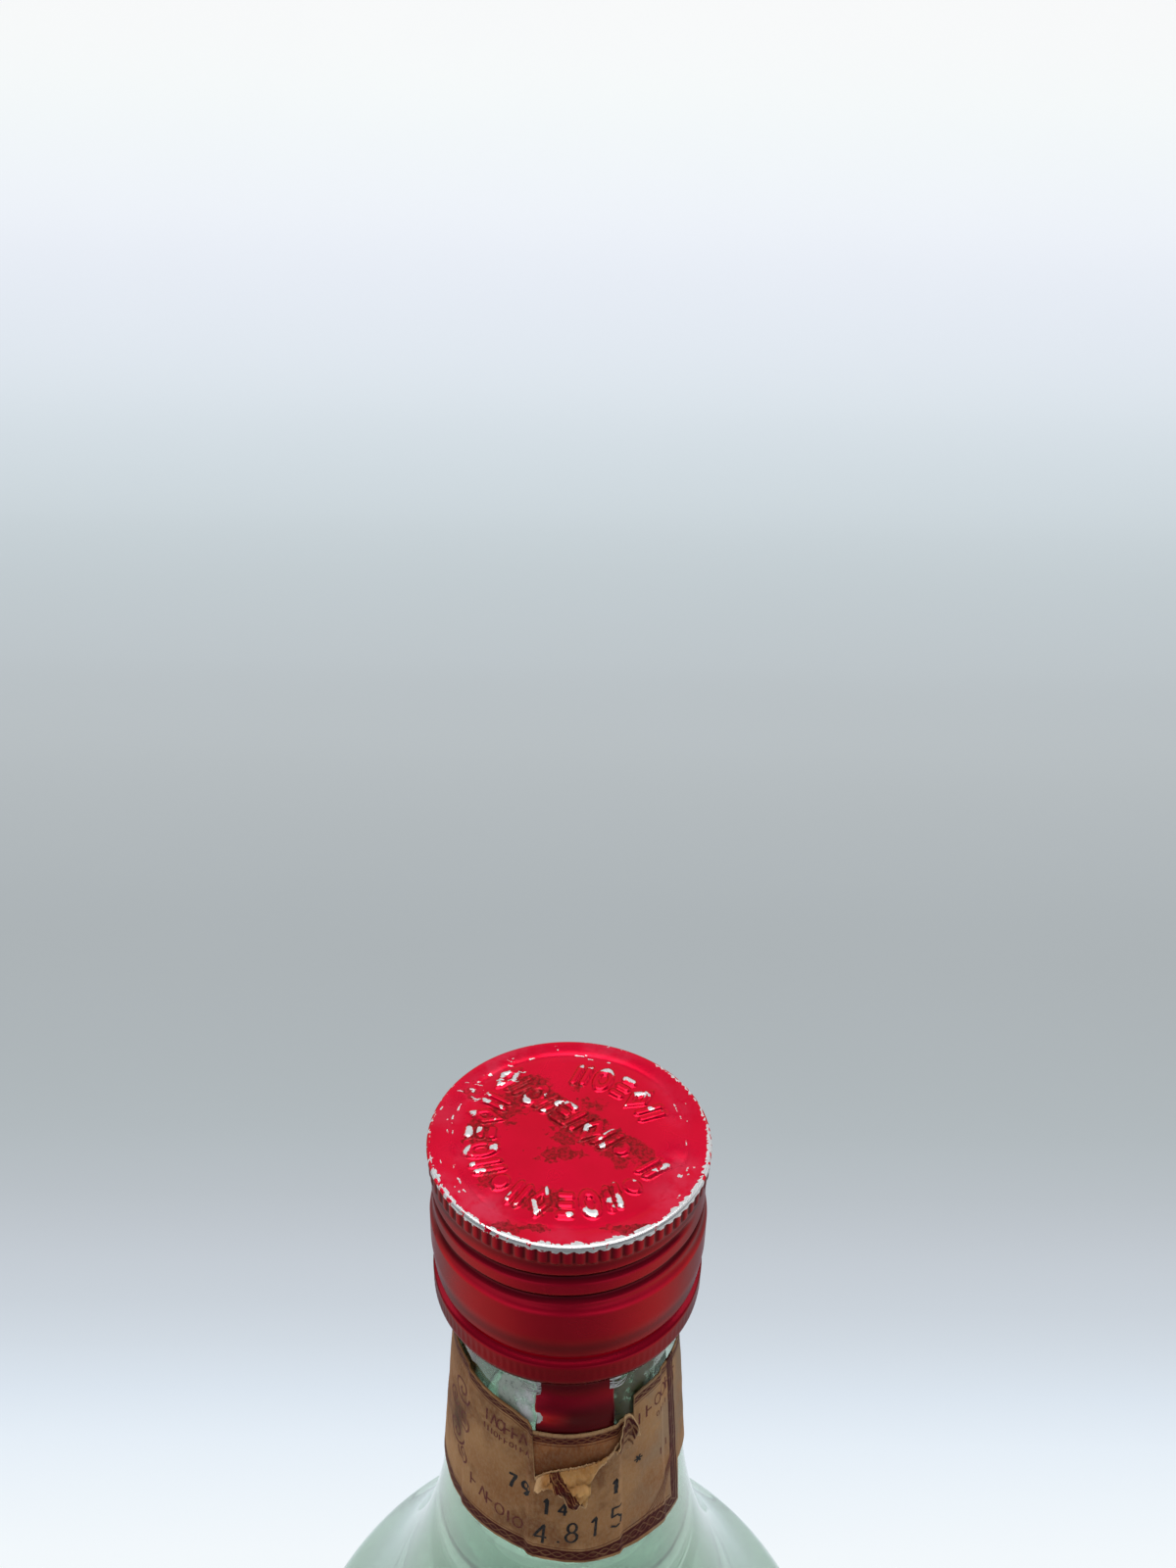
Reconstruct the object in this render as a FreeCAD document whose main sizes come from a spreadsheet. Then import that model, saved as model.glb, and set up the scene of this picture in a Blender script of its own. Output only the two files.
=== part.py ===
"""A one litre grappa bottle with a roll-on aluminium cap and a torn paper tax band.

The bottle stands on the origin with +Z up and its front towards -Y. Every driving size is
a cell of the sheet "Sizes", in millimetres or degrees. Depths are measured down from the
top of the cap, so that the cap, the neck and the paper stay together when the bottle is
made taller. Each sub-part is a solid of its own and gives one file in parts/.
"""
import FreeCAD, Part
import os
import math
import Sketcher

doc = FreeCAD.newDocument("GrappaBottle")
sheet = doc.addObject("Spreadsheet::Sheet", "Sizes")

SIZES = [
    # the whole bottle
    ("total_height", 296.0, "base to the top of the cap"),
    ("body_radius", 43.5, "outside of the straight body"),
    ("glass_wall", 2.8, "wall of the body, the shoulder and the neck"),
    ("heel_radius", 7.0, "rounding between the body and the base"),
    ("foot_width", 3.0, "width of the flat ring that the bottle stands on"),
    ("base_thickness", 5.0, "glass under the liquid, beside the punt"),
    ("punt_height", 7.0, "rise of the dished underside"),
    # the neck and the shoulder
    ("neck_depth", 24.0, "where the neck's straight cone starts"),
    ("neck_radius", 13.0, "outside of the neck at that depth"),
    ("neck_slope", 4.65, "angle of the neck's cone"),
    ("throat_depth", 51.7, "where the cone turns into the hollow of the throat"),
    ("throat_radius", 113.0, "radius of that hollow curve"),
    ("shoulder_radius", 29.0, "rounding between the throat and the straight body"),
    # the mouth under the cap
    ("finish_clearance", 0.36, "gap between the mouth and the cap's rolled thread"),
    ("finish_depth", 20.3, "lower end of the glass mouth"),
    ("lip_round", 0.9, "rounding of the mouth's lip"),
    # the drink
    ("fill_depth", 47.0, "level of the drink below the top of the cap"),
    ("fill_clearance", 0.05, "gap that keeps the drink off the glass"),
    # the cap
    ("cap_radius", 15.75, "outside of the cap's rim, ribs and break-off ring"),
    ("cap_height", 21.4, "top of the cap to the edge of its break-off ring"),
    ("cap_sheet", 0.3, "thickness of the aluminium"),
    ("rim_round", 0.5, "rounding of the cap's upper edge"),
    ("panel_radius", 14.2, "inner edge of the rim, where it steps down to the panel"),
    ("panel_sink", 0.25, "depth of the flat panel inside the rim"),
    ("knurl_bottom", 2.5, "lower end of the knurled grip"),
    ("knurl_height", 0.3, "how far a grip rib stands out"),
    ("knurl_ribs", 76, "ribs around the cap"),
    ("thread_depth", 7.95, "where the rolled thread's lower turn passes the front"),
    ("thread_pitch", 3.0, "rise of the thread in one turn"),
    ("thread_turns", 1.4, "turns of the rolled thread"),
    ("thread_start", -80.0, "angle from the front where its lower end starts"),
    ("thread_sink", 0.42, "depth of the rolled groove"),
    ("thread_width", 1.5, "width of the rolled groove"),
    ("band_top", 9.9, "upper edge of the smooth band"),
    ("band_bottom", 13.8, "lower edge of the smooth band"),
    ("band_swell", 0.05, "how far the band stands out past the rim"),
    ("band_flare", 0.8, "height over which the wall flares out to the band"),
    ("score_top", 16.9, "upper edge of the groove above the break-off ring"),
    ("score_bottom", 18.2, "lower edge of that groove"),
    ("score_sink", 0.5, "depth of that groove"),
    ("slit_height", 0.25, "height of a slit in the groove"),
    ("slit_count", 5, "slits around the cap"),
    ("slit_angle", 57.0, "length of a slit"),
    ("slit_start", 23.0, "angle from the front to the first slit"),
    ("tuck_height", 0.6, "inward roll at the ring's lower edge"),
    ("tuck_inset", 0.3, "how far that roll goes in"),
    # the tongue of the break-off ring, which hangs down the front of the neck
    ("tongue_left", -14.0, "left edge, as an angle from the front"),
    ("tongue_right", 23.5, "right edge"),
    ("tongue_depth", 41.0, "lower end, under the paper"),
    ("tongue_gap", 0.1, "gap between the tongue and the glass"),
    ("tongue_bend_depth", 28.5, "fold of the crumpled tongue"),
    ("tongue_bend", 0.45, "how far the fold stands out"),
    ("nick_length", 1.1, "depth of the nicks torn into the tongue's edges"),
    ("nick_depth", 25.6, "where the nicks' points lie"),
    ("nick_height", 1.1, "height of a nick at the tongue's edge"),
    # the two paper tax bands
    ("paper_sheet", 0.18, "thickness of a paper band"),
    ("glue", 0.06, "glue between the paper and what is under it"),
    ("drape_angle", 3.0, "how far a paper band takes to step over an edge under it"),
    ("drape_step", 1.0, "angle between the places that a paper band's curve goes through"),
    ("inner_top", 32.0, "upper edge of the inner band"),
    ("inner_bottom", 48.0, "lower edge of the inner band"),
    ("inner_left", -52.0, "left end of the inner band"),
    ("inner_right", 50.0, "right end of the inner band"),
    ("outer_top", 28.2, "upper edge of the outer band at the sides"),
    ("outer_bottom", 52.3, "lower edge of the outer band at the sides and behind"),
    ("outer_sag", 3.4, "how much lower the lower edge lies at the front right"),
    ("outer_left", -186.0, "left end of the outer band, behind the neck"),
    ("outer_right", 78.0, "right end of the outer band"),
    ("outer_step", 48.0, "depth of the step in the right end"),
    ("outer_cut", 65.0, "right end below the step"),
]

# Sizes that follow from the driving ones.
WORKED = [
    ("neck_tan", "tan(Sizes.neck_slope)"),
    ("throat_top_radius", "Sizes.neck_radius + (Sizes.throat_depth - Sizes.neck_depth) * neck_tan"),
    ("steep_cos",
     "(throat_top_radius + Sizes.throat_radius * cos(Sizes.neck_slope) + Sizes.shoulder_radius"
     " - Sizes.body_radius) / (Sizes.throat_radius + Sizes.shoulder_radius)"),
    ("steep_sin", "sqrt(1 - steep_cos ^ 2)"),
    ("throat_end_radius",
     "throat_top_radius + Sizes.throat_radius * (cos(Sizes.neck_slope) - steep_cos)"),
    ("throat_end_depth",
     "Sizes.throat_depth + Sizes.throat_radius * (steep_sin - sin(Sizes.neck_slope))"),
    ("shoulder_depth", "throat_end_depth + Sizes.shoulder_radius * steep_sin"),
    ("foot_outer", "Sizes.body_radius - Sizes.heel_radius"),
    ("foot_inner", "foot_outer - Sizes.foot_width"),
    ("punt_radius", "(foot_inner ^ 2 + Sizes.punt_height ^ 2) / (2 * Sizes.punt_height)"),
    ("grip_radius", "Sizes.cap_radius - Sizes.knurl_height"),
    ("band_radius", "Sizes.cap_radius + Sizes.band_swell"),
    ("ring_radius", "Sizes.cap_radius"),
    ("thread_half", "Sizes.thread_width / 2"),
    ("finish_radius",
     "grip_radius - Sizes.thread_sink - Sizes.cap_sheet - Sizes.finish_clearance"),
]

worked = doc.addObject("Spreadsheet::Sheet", "Worked")


def fill_sheets():
    """Driving sizes as plain numbers in one sheet, what follows from them in the other."""
    for row, (alias, value, note) in enumerate(SIZES, start=1):
        sheet.set("A%d" % row, alias)
        sheet.set("B%d" % row, str(value))
        sheet.set("C%d" % row, note)
        sheet.setAlias("B%d" % row, alias)
    for row, (alias, formula) in enumerate(WORKED, start=1):
        worked.set("A%d" % row, alias)
        worked.set("B%d" % row, "=" + formula)
        worked.setAlias("B%d" % row, alias)
    doc.recompute()


fill_sheets()

# holds one expression at a time, so that its value can be read
reader = doc.addObject("App::FeaturePython", "Reader")
reader.addProperty("App::PropertyFloat", "Number")


def size(alias):
    """Value of a cell of either sheet."""
    for page in (sheet, worked):
        if page.getCellFromAlias(alias):
            return float(page.get(alias))
    raise KeyError(alias)


def number(expression):
    """Value of an expression that names cells as Sizes.x or Worked.x."""
    reader.setExpression("Number", expression)
    reader.recompute()
    return reader.Number


def level(depth):
    """Expression for the height above the base of a depth below the cap's top."""
    return "Sizes.total_height - (%s)" % depth


def origin_plane(body, role):
    """One of a body's own origin planes."""
    for feature in body.Origin.OriginFeatures:
        if feature.Role == role:
            return feature
    raise KeyError(role)


def new_body(label):
    body = doc.addObject("PartDesign::Body", label)
    body.Label = label
    return body


def sketch_on(body, name, role="XZ_Plane", turn=0.0):
    """Empty sketch on an origin plane, turned about the Z axis by an angle in degrees."""
    sketch = body.newObject("Sketcher::SketchObject", name)
    sketch.AttachmentSupport = [(origin_plane(body, role), "")]
    sketch.MapMode = "FlatFace"
    if turn:
        about_z = FreeCAD.Rotation(FreeCAD.Vector(0, 1, 0), turn)
        sketch.AttachmentOffset = FreeCAD.Placement(FreeCAD.Vector(0, 0, 0), about_z)
    return sketch


def bind_point(sketch, edge, end, corner):
    """Tie a corner's two coordinates to its expressions."""
    for kind, expression in (("DistanceX", corner[0]), ("DistanceY", corner[1])):
        value = number(expression)
        index = sketch.addConstraint(Sketcher.Constraint(kind, -1, 1, edge, end, value))
        sketch.setExpression("Constraints[%d]" % index, expression)


def arc_between(start, end, radius, left):
    """Arc of a radius from start to end, with its centre on the left or right of the chord."""
    chord = end - start
    half = chord.Length / 2
    rise = math.sqrt(max(radius * radius - half * half, 0.0))
    side = FreeCAD.Vector(-chord.y, chord.x, 0).normalize() * (rise if left else -rise)
    centre = (start + end) * 0.5 + side
    middle = centre - side.normalize() * radius
    return Part.Arc(start, middle, end)


def draw_outline(sketch, corners):
    """Closed outline whose corners are (x, y) expressions.

    A third item (radius, "left" or "right") makes the edge that leaves the corner an arc, with
    its centre on that side of the way round.
    """
    places = [FreeCAD.Vector(number(c[0]), number(c[1]), 0) for c in corners]
    ends = []
    for index, corner in enumerate(corners):
        start = places[index]
        end = places[(index + 1) % len(places)]
        if len(corner) == 3:
            radius, side = corner[2]
            left = side == "left"
            sketch.addGeometry(arc_between(start, end, number(radius), left), False)
            # a sketch keeps an arc's points counter-clockwise
            ends.append((1, 2) if left else (2, 1))
        else:
            sketch.addGeometry(Part.LineSegment(start, end), False)
            ends.append((1, 2))
    count = len(corners)
    for index, corner in enumerate(corners):
        following = (index + 1) % count
        sketch.addConstraint(Sketcher.Constraint(
            "Coincident", index, ends[index][1], following, ends[following][0]))
        bind_point(sketch, index, ends[index][0], corner)
        if len(corner) == 3:
            radius = corner[2][0]
            number_of = sketch.addConstraint(Sketcher.Constraint("Radius", index, number(radius)))
            sketch.setExpression("Constraints[%d]" % number_of, radius)
    doc.recompute()
    return sketch


def turned(body, name, kind, sketch, angle=360.0, back=False):
    """Revolution or groove of a sketch about the Z axis."""
    feature = body.newObject("PartDesign::" + kind, name)
    feature.Profile = sketch
    feature.ReferenceAxis = (sketch, ["V_Axis"])
    feature.Angle = angle
    feature.Reversed = back
    doc.recompute()
    return feature


# ---------------------------------------------------------------- the glass bottle

def inside_corners(wall, floor):
    """Corners of the bottle's inside from the neck's top down to the axis, for a wall."""
    slope = "Sizes.neck_slope"
    return [
        ("Sizes.neck_radius - (%s) * cos(%s)" % (wall, slope),
         level("Sizes.neck_depth + (%s) * sin(%s)" % (wall, slope))),
        ("Worked.throat_top_radius - (%s) * cos(%s)" % (wall, slope),
         level("Sizes.throat_depth + (%s) * sin(%s)" % (wall, slope)),
         ("Sizes.throat_radius + (%s)" % wall, "left")),
        ("Worked.throat_end_radius - (%s) * Worked.steep_cos" % wall,
         level("Worked.throat_end_depth + (%s) * Worked.steep_sin" % wall),
         ("Sizes.shoulder_radius - (%s)" % wall, "right")),
        ("Sizes.body_radius - (%s)" % wall, level("Worked.shoulder_depth")),
        ("Sizes.body_radius - (%s)" % wall, "Sizes.heel_radius - Sizes.glass_wall + (%s)" % floor,
         ("Sizes.heel_radius - (%s)" % wall, "right")),
        ("Worked.foot_outer", floor),
        ("Worked.foot_inner", floor, ("Worked.punt_radius", "left")),
        ("0", "Sizes.punt_height + (%s)" % floor),
    ]


def make_bottle():
    """Blown glass bottle: body, shoulder, throat, neck, plain mouth and dished base."""
    body = new_body("bottle_glass")
    mouth = level("Sizes.panel_sink + Sizes.cap_sheet")
    lip = level("Sizes.panel_sink + Sizes.cap_sheet + Sizes.lip_round")
    bore = "Sizes.neck_radius - Sizes.glass_wall * cos(Sizes.neck_slope)"
    outside = [
        ("0", "Sizes.punt_height", ("Worked.punt_radius", "right")),
        ("Worked.foot_inner", "0"),
        ("Worked.foot_outer", "0", ("Sizes.heel_radius", "left")),
        ("Sizes.body_radius", "Sizes.heel_radius"),
        ("Sizes.body_radius", level("Worked.shoulder_depth"), ("Sizes.shoulder_radius", "left")),
        ("Worked.throat_end_radius", level("Worked.throat_end_depth"),
         ("Sizes.throat_radius", "right")),
        ("Worked.throat_top_radius", level("Sizes.throat_depth")),
        ("Sizes.neck_radius", level("Sizes.neck_depth")),
        ("Worked.finish_radius", level("Sizes.finish_depth")),
        ("Worked.finish_radius", lip, ("Sizes.lip_round", "left")),
        ("Worked.finish_radius - Sizes.lip_round", mouth),
        (bore, mouth),
    ]
    outline = outside + inside_corners("Sizes.glass_wall", "Sizes.base_thickness")
    turned(body, "glass_turned", "Revolution", draw_outline(sketch_on(body, "glass_outline"), outline))
    return body


def make_drink():
    """The grappa, up to its level in the neck."""
    body = new_body("grappa_fill")
    wall = "Sizes.glass_wall + Sizes.fill_clearance"
    floor = "Sizes.base_thickness + Sizes.fill_clearance"
    top = level("Sizes.fill_depth")
    edge = ("Sizes.neck_radius - (%s) / cos(Sizes.neck_slope)"
            " + (Sizes.fill_depth - Sizes.neck_depth) * Worked.neck_tan" % wall)
    outline = [("0", top), (edge, top)] + inside_corners(wall, floor)[1:]
    turned(body, "drink_turned", "Revolution", draw_outline(sketch_on(body, "drink_outline"), outline))
    return body


# ---------------------------------------------------------------- the cap

def cap_wall_corners():
    """(radius, depth) expressions down the outside of the cap, below its rounded rim."""
    grip = "Worked.grip_radius"
    corners = [
        (grip, "Sizes.knurl_bottom"),
        (grip, "Sizes.band_top - Sizes.band_flare"),
        ("Worked.band_radius", "Sizes.band_top"),
        ("Worked.band_radius", "Sizes.band_bottom"),
        (grip, "Sizes.score_top"),
        (grip + " - Sizes.score_sink", "(Sizes.score_top + Sizes.score_bottom) / 2"),
        ("Worked.ring_radius", "Sizes.score_bottom"),
        ("Worked.ring_radius", "Sizes.cap_height - Sizes.tuck_height"),
        ("Worked.ring_radius - Sizes.tuck_inset", "Sizes.cap_height"),
    ]
    return corners


def make_cap_shell(body):
    """Deep-drawn shell of even sheet: sunk panel, rim, wall, band, score groove and ring."""
    sheet_in = " - Sizes.cap_sheet"
    wall = cap_wall_corners()
    outer = [
        ("0", level("Sizes.panel_sink")),
        ("Sizes.panel_radius - Sizes.panel_sink", level("Sizes.panel_sink")),
        ("Sizes.panel_radius", level("0")),
        ("Sizes.cap_radius - Sizes.rim_round", level("0"), ("Sizes.rim_round", "right")),
        ("Sizes.cap_radius", level("Sizes.rim_round")),
        ("Worked.grip_radius", level("Sizes.rim_round")),
    ]
    outer += [(radius, level(depth)) for radius, depth in wall]
    inner = [(radius + sheet_in, level(depth)) for radius, depth in reversed(wall)]
    inner += [
        ("Worked.grip_radius - Sizes.cap_sheet", level("Sizes.panel_sink + Sizes.cap_sheet")),
        ("0", level("Sizes.panel_sink + Sizes.cap_sheet")),
    ]
    sketch = draw_outline(sketch_on(body, "shell_outline"), outer + inner)
    return turned(body, "shell_turned", "Revolution", sketch)


def rolled_thread_part(body, name, kind, section):
    """One side of the rolled thread: a section swept up the right-handed helix."""
    sketch = sketch_on(body, name + "_section", turn=size("thread_start") - 90.0)
    draw_outline(sketch, section)
    helix = body.newObject("PartDesign::" + kind, name)
    helix.Profile = sketch
    helix.ReferenceAxis = (sketch, ["V_Axis"])
    helix.setExpression("Pitch", "Sizes.thread_pitch")
    helix.setExpression("Height", "Sizes.thread_pitch * Sizes.thread_turns")
    doc.recompute()
    return helix


def make_thread(body):
    """Helical channel rolled into the sheet: a ridge inside, then the groove outside."""
    before = body.Shape.Volume
    grip = "Worked.grip_radius"
    inside = grip + " - Sizes.cap_sheet"
    half = "Worked.thread_half"
    flat = "Sizes.thread_width / 10"
    middle = "Sizes.thread_depth - Sizes.thread_start / 360 * Sizes.thread_pitch"
    # the inner section is a sheet's thickness wider, so that the wall stays whole
    ridge = [
        (inside + " + Sizes.cap_sheet / 2", level("(%s) + %s + Sizes.cap_sheet / 2" % (middle, half))),
        (inside + " + Sizes.cap_sheet / 2", level("(%s) - %s - Sizes.cap_sheet / 2" % (middle, half))),
        (inside, level("(%s) - %s - Sizes.cap_sheet / 2" % (middle, half))),
        (inside + " - Sizes.thread_sink", level("(%s) - %s" % (middle, flat))),
        (inside + " - Sizes.thread_sink", level("(%s) + %s" % (middle, flat))),
        (inside, level("(%s) + %s + Sizes.cap_sheet / 2" % (middle, half))),
    ]
    groove = [
        (grip + " + Sizes.knurl_height", level("(%s) + %s" % (middle, half))),
        (grip + " + Sizes.knurl_height", level("(%s) - %s" % (middle, half))),
        (grip, level("(%s) - %s" % (middle, half))),
        (grip + " - Sizes.thread_sink", level("(%s) - %s" % (middle, flat))),
        (grip + " - Sizes.thread_sink", level("(%s) + %s" % (middle, flat))),
        (grip, level("(%s) + %s" % (middle, half))),
    ]
    rolled_thread_part(body, "thread_ridge", "AdditiveHelix", ridge)
    ridged = body.Shape.Volume
    rolled_thread_part(body, "thread_groove", "SubtractiveHelix", groove)
    if not body.Shape.Volume < ridged > before:
        raise RuntimeError("the rolled thread added or cut nothing")


def pad_in_ring(body, name, corners, low, high, count):
    """Prism on the ground plane between two heights, repeated around the Z axis."""
    sketch = sketch_on(body, name + "_outline", "XY_Plane")
    sketch.setExpression("AttachmentOffset.Base.z", low)
    draw_outline(sketch, corners)
    pad = body.newObject("PartDesign::Pad", name)
    pad.Profile = sketch
    pad.setExpression("Length", "(%s) - (%s)" % (high, low))
    doc.recompute()
    pattern = body.newObject("PartDesign::PolarPattern", name + "_ring")
    pattern.Originals = [pad]
    pattern.Axis = (origin_plane(body, "Z_Axis"), [""])
    pattern.Angle = 360.0
    pattern.setExpression("Occurrences", count)
    body.Tip = pattern
    doc.recompute()
    return pattern


def make_knurl(body):
    """Ribs of the grip, under the rim."""
    root = "Worked.grip_radius - Sizes.cap_sheet / 2"
    crest = "Worked.grip_radius + Sizes.knurl_height"
    half = "180 / Sizes.knurl_ribs"
    foot_x = "(Worked.grip_radius) * sin(%s) * 0.72" % half
    crest_x = "(Worked.grip_radius) * sin(%s) * 0.28" % half
    corners = [
        ("-(%s)" % foot_x, "-(%s)" % root),
        ("%s" % foot_x, "-(%s)" % root),
        ("%s" % crest_x, "-(%s)" % crest),
        ("-(%s)" % crest_x, "-(%s)" % crest),
    ]
    low = level("Sizes.knurl_bottom")
    high = level("Sizes.rim_round")
    return pad_in_ring(body, "knurl_rib", corners, low, high, "Sizes.knurl_ribs")


def make_slits(body):
    """Slits through the score groove, with bridges between them and a wide one in front."""
    middle = "(Sizes.score_top + Sizes.score_bottom) / 2"
    low = level("(%s) + Sizes.slit_height / 2" % middle)
    high = level("(%s) - Sizes.slit_height / 2" % middle)
    near = "Worked.grip_radius - Sizes.score_sink - Sizes.cap_sheet * 2"
    far = "Worked.ring_radius + Sizes.cap_sheet"
    before = body.Shape.Volume
    span = (360.0 - 2 * size("slit_start") - size("slit_angle")) / (size("slit_count") - 1)
    for index in range(int(size("slit_count"))):
        start = size("slit_start") + index * span - 90.0
        sketch = sketch_on(body, "slit_outline_%d" % (index + 1), turn=start)
        draw_outline(sketch, [(near, low), (far, low), (far, high), (near, high)])
        groove = turned(body, "slit_%d" % (index + 1), "Groove", sketch, size("slit_angle"))
        groove.setExpression("Angle", "Sizes.slit_angle")
    doc.recompute()
    if body.Shape.Volume >= before:
        raise RuntimeError("the slits cut nothing")


def neck_at(depth, lift):
    """Expression for the radius of the neck's cone at a depth, with a lift off the glass."""
    return ("Sizes.neck_radius + ((%s) - Sizes.neck_depth) * Worked.neck_tan + (%s)"
            % (depth, lift))


def make_tongue(body):
    """Tongue that hangs from the break-off ring down the front of the neck, with its fold."""
    edge = "Worked.ring_radius - Sizes.tuck_inset"
    foot = "Sizes.neck_depth + 1"
    bend = "Sizes.tongue_bend_depth"
    after = "Sizes.tongue_bend_depth + 2"
    close = "Sizes.tongue_gap"
    outer = [
        (edge, level("Sizes.cap_height")),
        (neck_at(foot, close + " + Sizes.cap_sheet"), level(foot)),
        (neck_at(bend, close + " + Sizes.cap_sheet + Sizes.tongue_bend"), level(bend)),
        (neck_at(after, close + " + Sizes.cap_sheet"), level(after)),
        (neck_at("Sizes.tongue_depth", close + " + Sizes.cap_sheet"), level("Sizes.tongue_depth")),
    ]
    inner = [("(%s) - Sizes.cap_sheet" % radius, height) for radius, height in reversed(outer)]
    sketch = sketch_on(body, "tongue_outline", turn=size("tongue_left") - 90.0)
    draw_outline(sketch, outer + inner)
    tongue = turned(body, "tongue", "Revolution", sketch, size("tongue_right") - size("tongue_left"))
    tongue.setExpression("Angle", "Sizes.tongue_right - Sizes.tongue_left")
    doc.recompute()


def tear_tongue(body):
    """Nicks torn into both edges of the tongue, just under the ring."""
    before = body.Shape.Volume
    high = level("Sizes.nick_depth - Sizes.nick_height / 2")
    middle = level("Sizes.nick_depth")
    low = level("Sizes.nick_depth + Sizes.nick_height / 2")
    reach = neck_at("Sizes.nick_depth", "0")
    for name, edge, way in (("left", "Sizes.tongue_left", "+"), ("right", "Sizes.tongue_right", "-")):
        outside = "(%s) * sin(%s) - (%s Sizes.nick_length)" % (reach, edge, way)
        tip = "(%s) * sin(%s) + (%s Sizes.nick_length)" % (reach, edge, way)
        sketch = sketch_on(body, "nick_outline_" + name)
        draw_outline(sketch, [(outside, high), (outside, low), (tip, middle)])
        pocket = body.newObject("PartDesign::Pocket", "nick_" + name)
        pocket.Profile = sketch
        pocket.Type = "Length"
        pocket.setExpression("Length", "Sizes.cap_radius")
        pocket.Reversed = True
        doc.recompute()
    if body.Shape.Volume >= before:
        raise RuntimeError("the nicks cut nothing")


def make_cap():
    """Roll-on aluminium cap with its break-off ring and tongue, all of one sheet."""
    body = new_body("screw_cap")
    make_cap_shell(body)
    make_thread(body)
    make_knurl(body)
    make_slits(body)
    make_tongue(body)
    tear_tongue(body)
    return body


# ---------------------------------------------------------------- the paper tax bands

def step_up(angle, left, right):
    """1 between two angles, 0 well outside them, with an eased step before each."""
    drape = size("drape_angle")
    outside = max(left - angle, angle - right, 0.0)
    if outside >= drape:
        return 0.0
    return 0.5 + 0.5 * math.cos(math.pi * outside / drape)


def inner_lift(angle):
    """Height of the inner band's underside off the glass: it steps over the tongue."""
    margin = 1.0
    over = step_up(angle, size("tongue_left") - margin, size("tongue_right") + margin)
    return size("glue") + over * (size("tongue_gap") + size("cap_sheet"))


def outer_lift(angle):
    """Height of the outer band's underside: it steps over the tongue and the inner band."""
    margin = 1.0
    over = step_up(angle, size("inner_left") - margin, size("inner_right") + margin)
    return inner_lift(angle) + over * (size("paper_sheet") + size("glue"))


def scrap_lift(angle):
    """Height of the folded scrap's underside, which sinks a little into the band it lies on."""
    return outer_lift(angle) + size("paper_sheet") * 0.6


def ring_curve(lift, thickness, depth, left, right):
    """Smooth curve around the neck at a depth, from one angle to another."""
    below = max(depth - size("throat_depth"), 0.0)
    radius = number(neck_at(str(depth), "0")) + below ** 2 / (2 * size("throat_radius"))
    steps = max(int((right - left) / size("drape_step")), 8)
    points = []
    for index in range(steps + 1):
        angle = left + (right - left) * index / steps
        reach = radius + lift(angle) + thickness
        turn = math.radians(angle)
        points.append(FreeCAD.Vector(
            reach * math.sin(turn), -reach * math.cos(turn), size("total_height") - depth))
    curve = Part.BSplineCurve()
    curve.interpolate(points)
    return curve.toShape()


def draped_sheet(lift, top, bottom, left, right):
    """Paper that follows the neck's cone and whatever lies under it, cut square."""
    sections = []
    for depth in (top, bottom):
        under = ring_curve(lift, 0.0, depth, left, right)
        over = ring_curve(lift, size("paper_sheet"), depth, left, right)
        ends = [
            Part.LineSegment(under.Vertexes[index].Point, over.Vertexes[index].Point).toShape()
            for index in (0, 1)
        ]
        sections.append(Part.Wire([under, ends[1], over, ends[0]]))
    return Part.makeLoft(sections, True, True)


def front_place(angle, depth):
    """Point in the front view at an angle around the neck and a depth."""
    reach = number(neck_at(str(depth), "0")) + outer_lift(angle)
    return FreeCAD.Vector(reach * math.sin(math.radians(angle)), 0, size("total_height") - depth)


def front_prism(corners):
    """Prism through the front half of the neck, over an outline in the front view."""
    wire = Part.makePolygon(corners + corners[:1])
    return Part.Face(wire).extrude(FreeCAD.Vector(0, -2 * size("cap_radius"), 0))


# The torn upper edge of the outer band: (angle from the front, depth), left to right.
LEFT_EDGE = [(-62, 28.0), (-51, 28.5), (-43, 29.0), (-35, 29.3), (-25.5, 29.7), (-16.3, 31.0)]
TEAR = [
    (-15.0, 31.6), (-14.4, 34.3), (-13.0, 38.9), (-8.6, 37.7), (-5.1, 37.3), (0.0, 36.9),
    (9.5, 36.4), (15.7, 36.3), (20.3, 35.8), (23.2, 34.8), (24.0, 32.6), (25.6, 30.7),
    (28.0, 29.9), (31.4, 30.6), (32.9, 33.2), (33.6, 30.6),
]
RIGHT_EDGE = [(34.2, 28.6), (39.8, 28.4), (46.5, 28.3), (54, 28.3), (62, 28.1)]
# Its lower edge, which sags towards the right: (angle, share of the sag).
LOWER_EDGE = [
    (-72, 0.0), (-62, 0.12), (-40, 0.03), (-29, 0.04), (-16.5, 0.1), (-5, 0.18), (6.5, 0.31),
    (18, 0.41), (29, 0.48), (42, 0.6), (56, 0.86), (64, 0.98), (66, 1.0),
]
# The scrap folded down over the tear: (angle, depth) round its outline.
SCRAP = [
    (-11.5, 38.7), (-4, 39.2), (-1, 40.3), (2, 41.5), (5, 41.8), (9.5, 41.4), (12.0, 40.6),
    (12.6, 38.6), (18.5, 37.0), (9.5, 37.2), (0.0, 37.6), (-5.1, 38.0),
]


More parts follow.
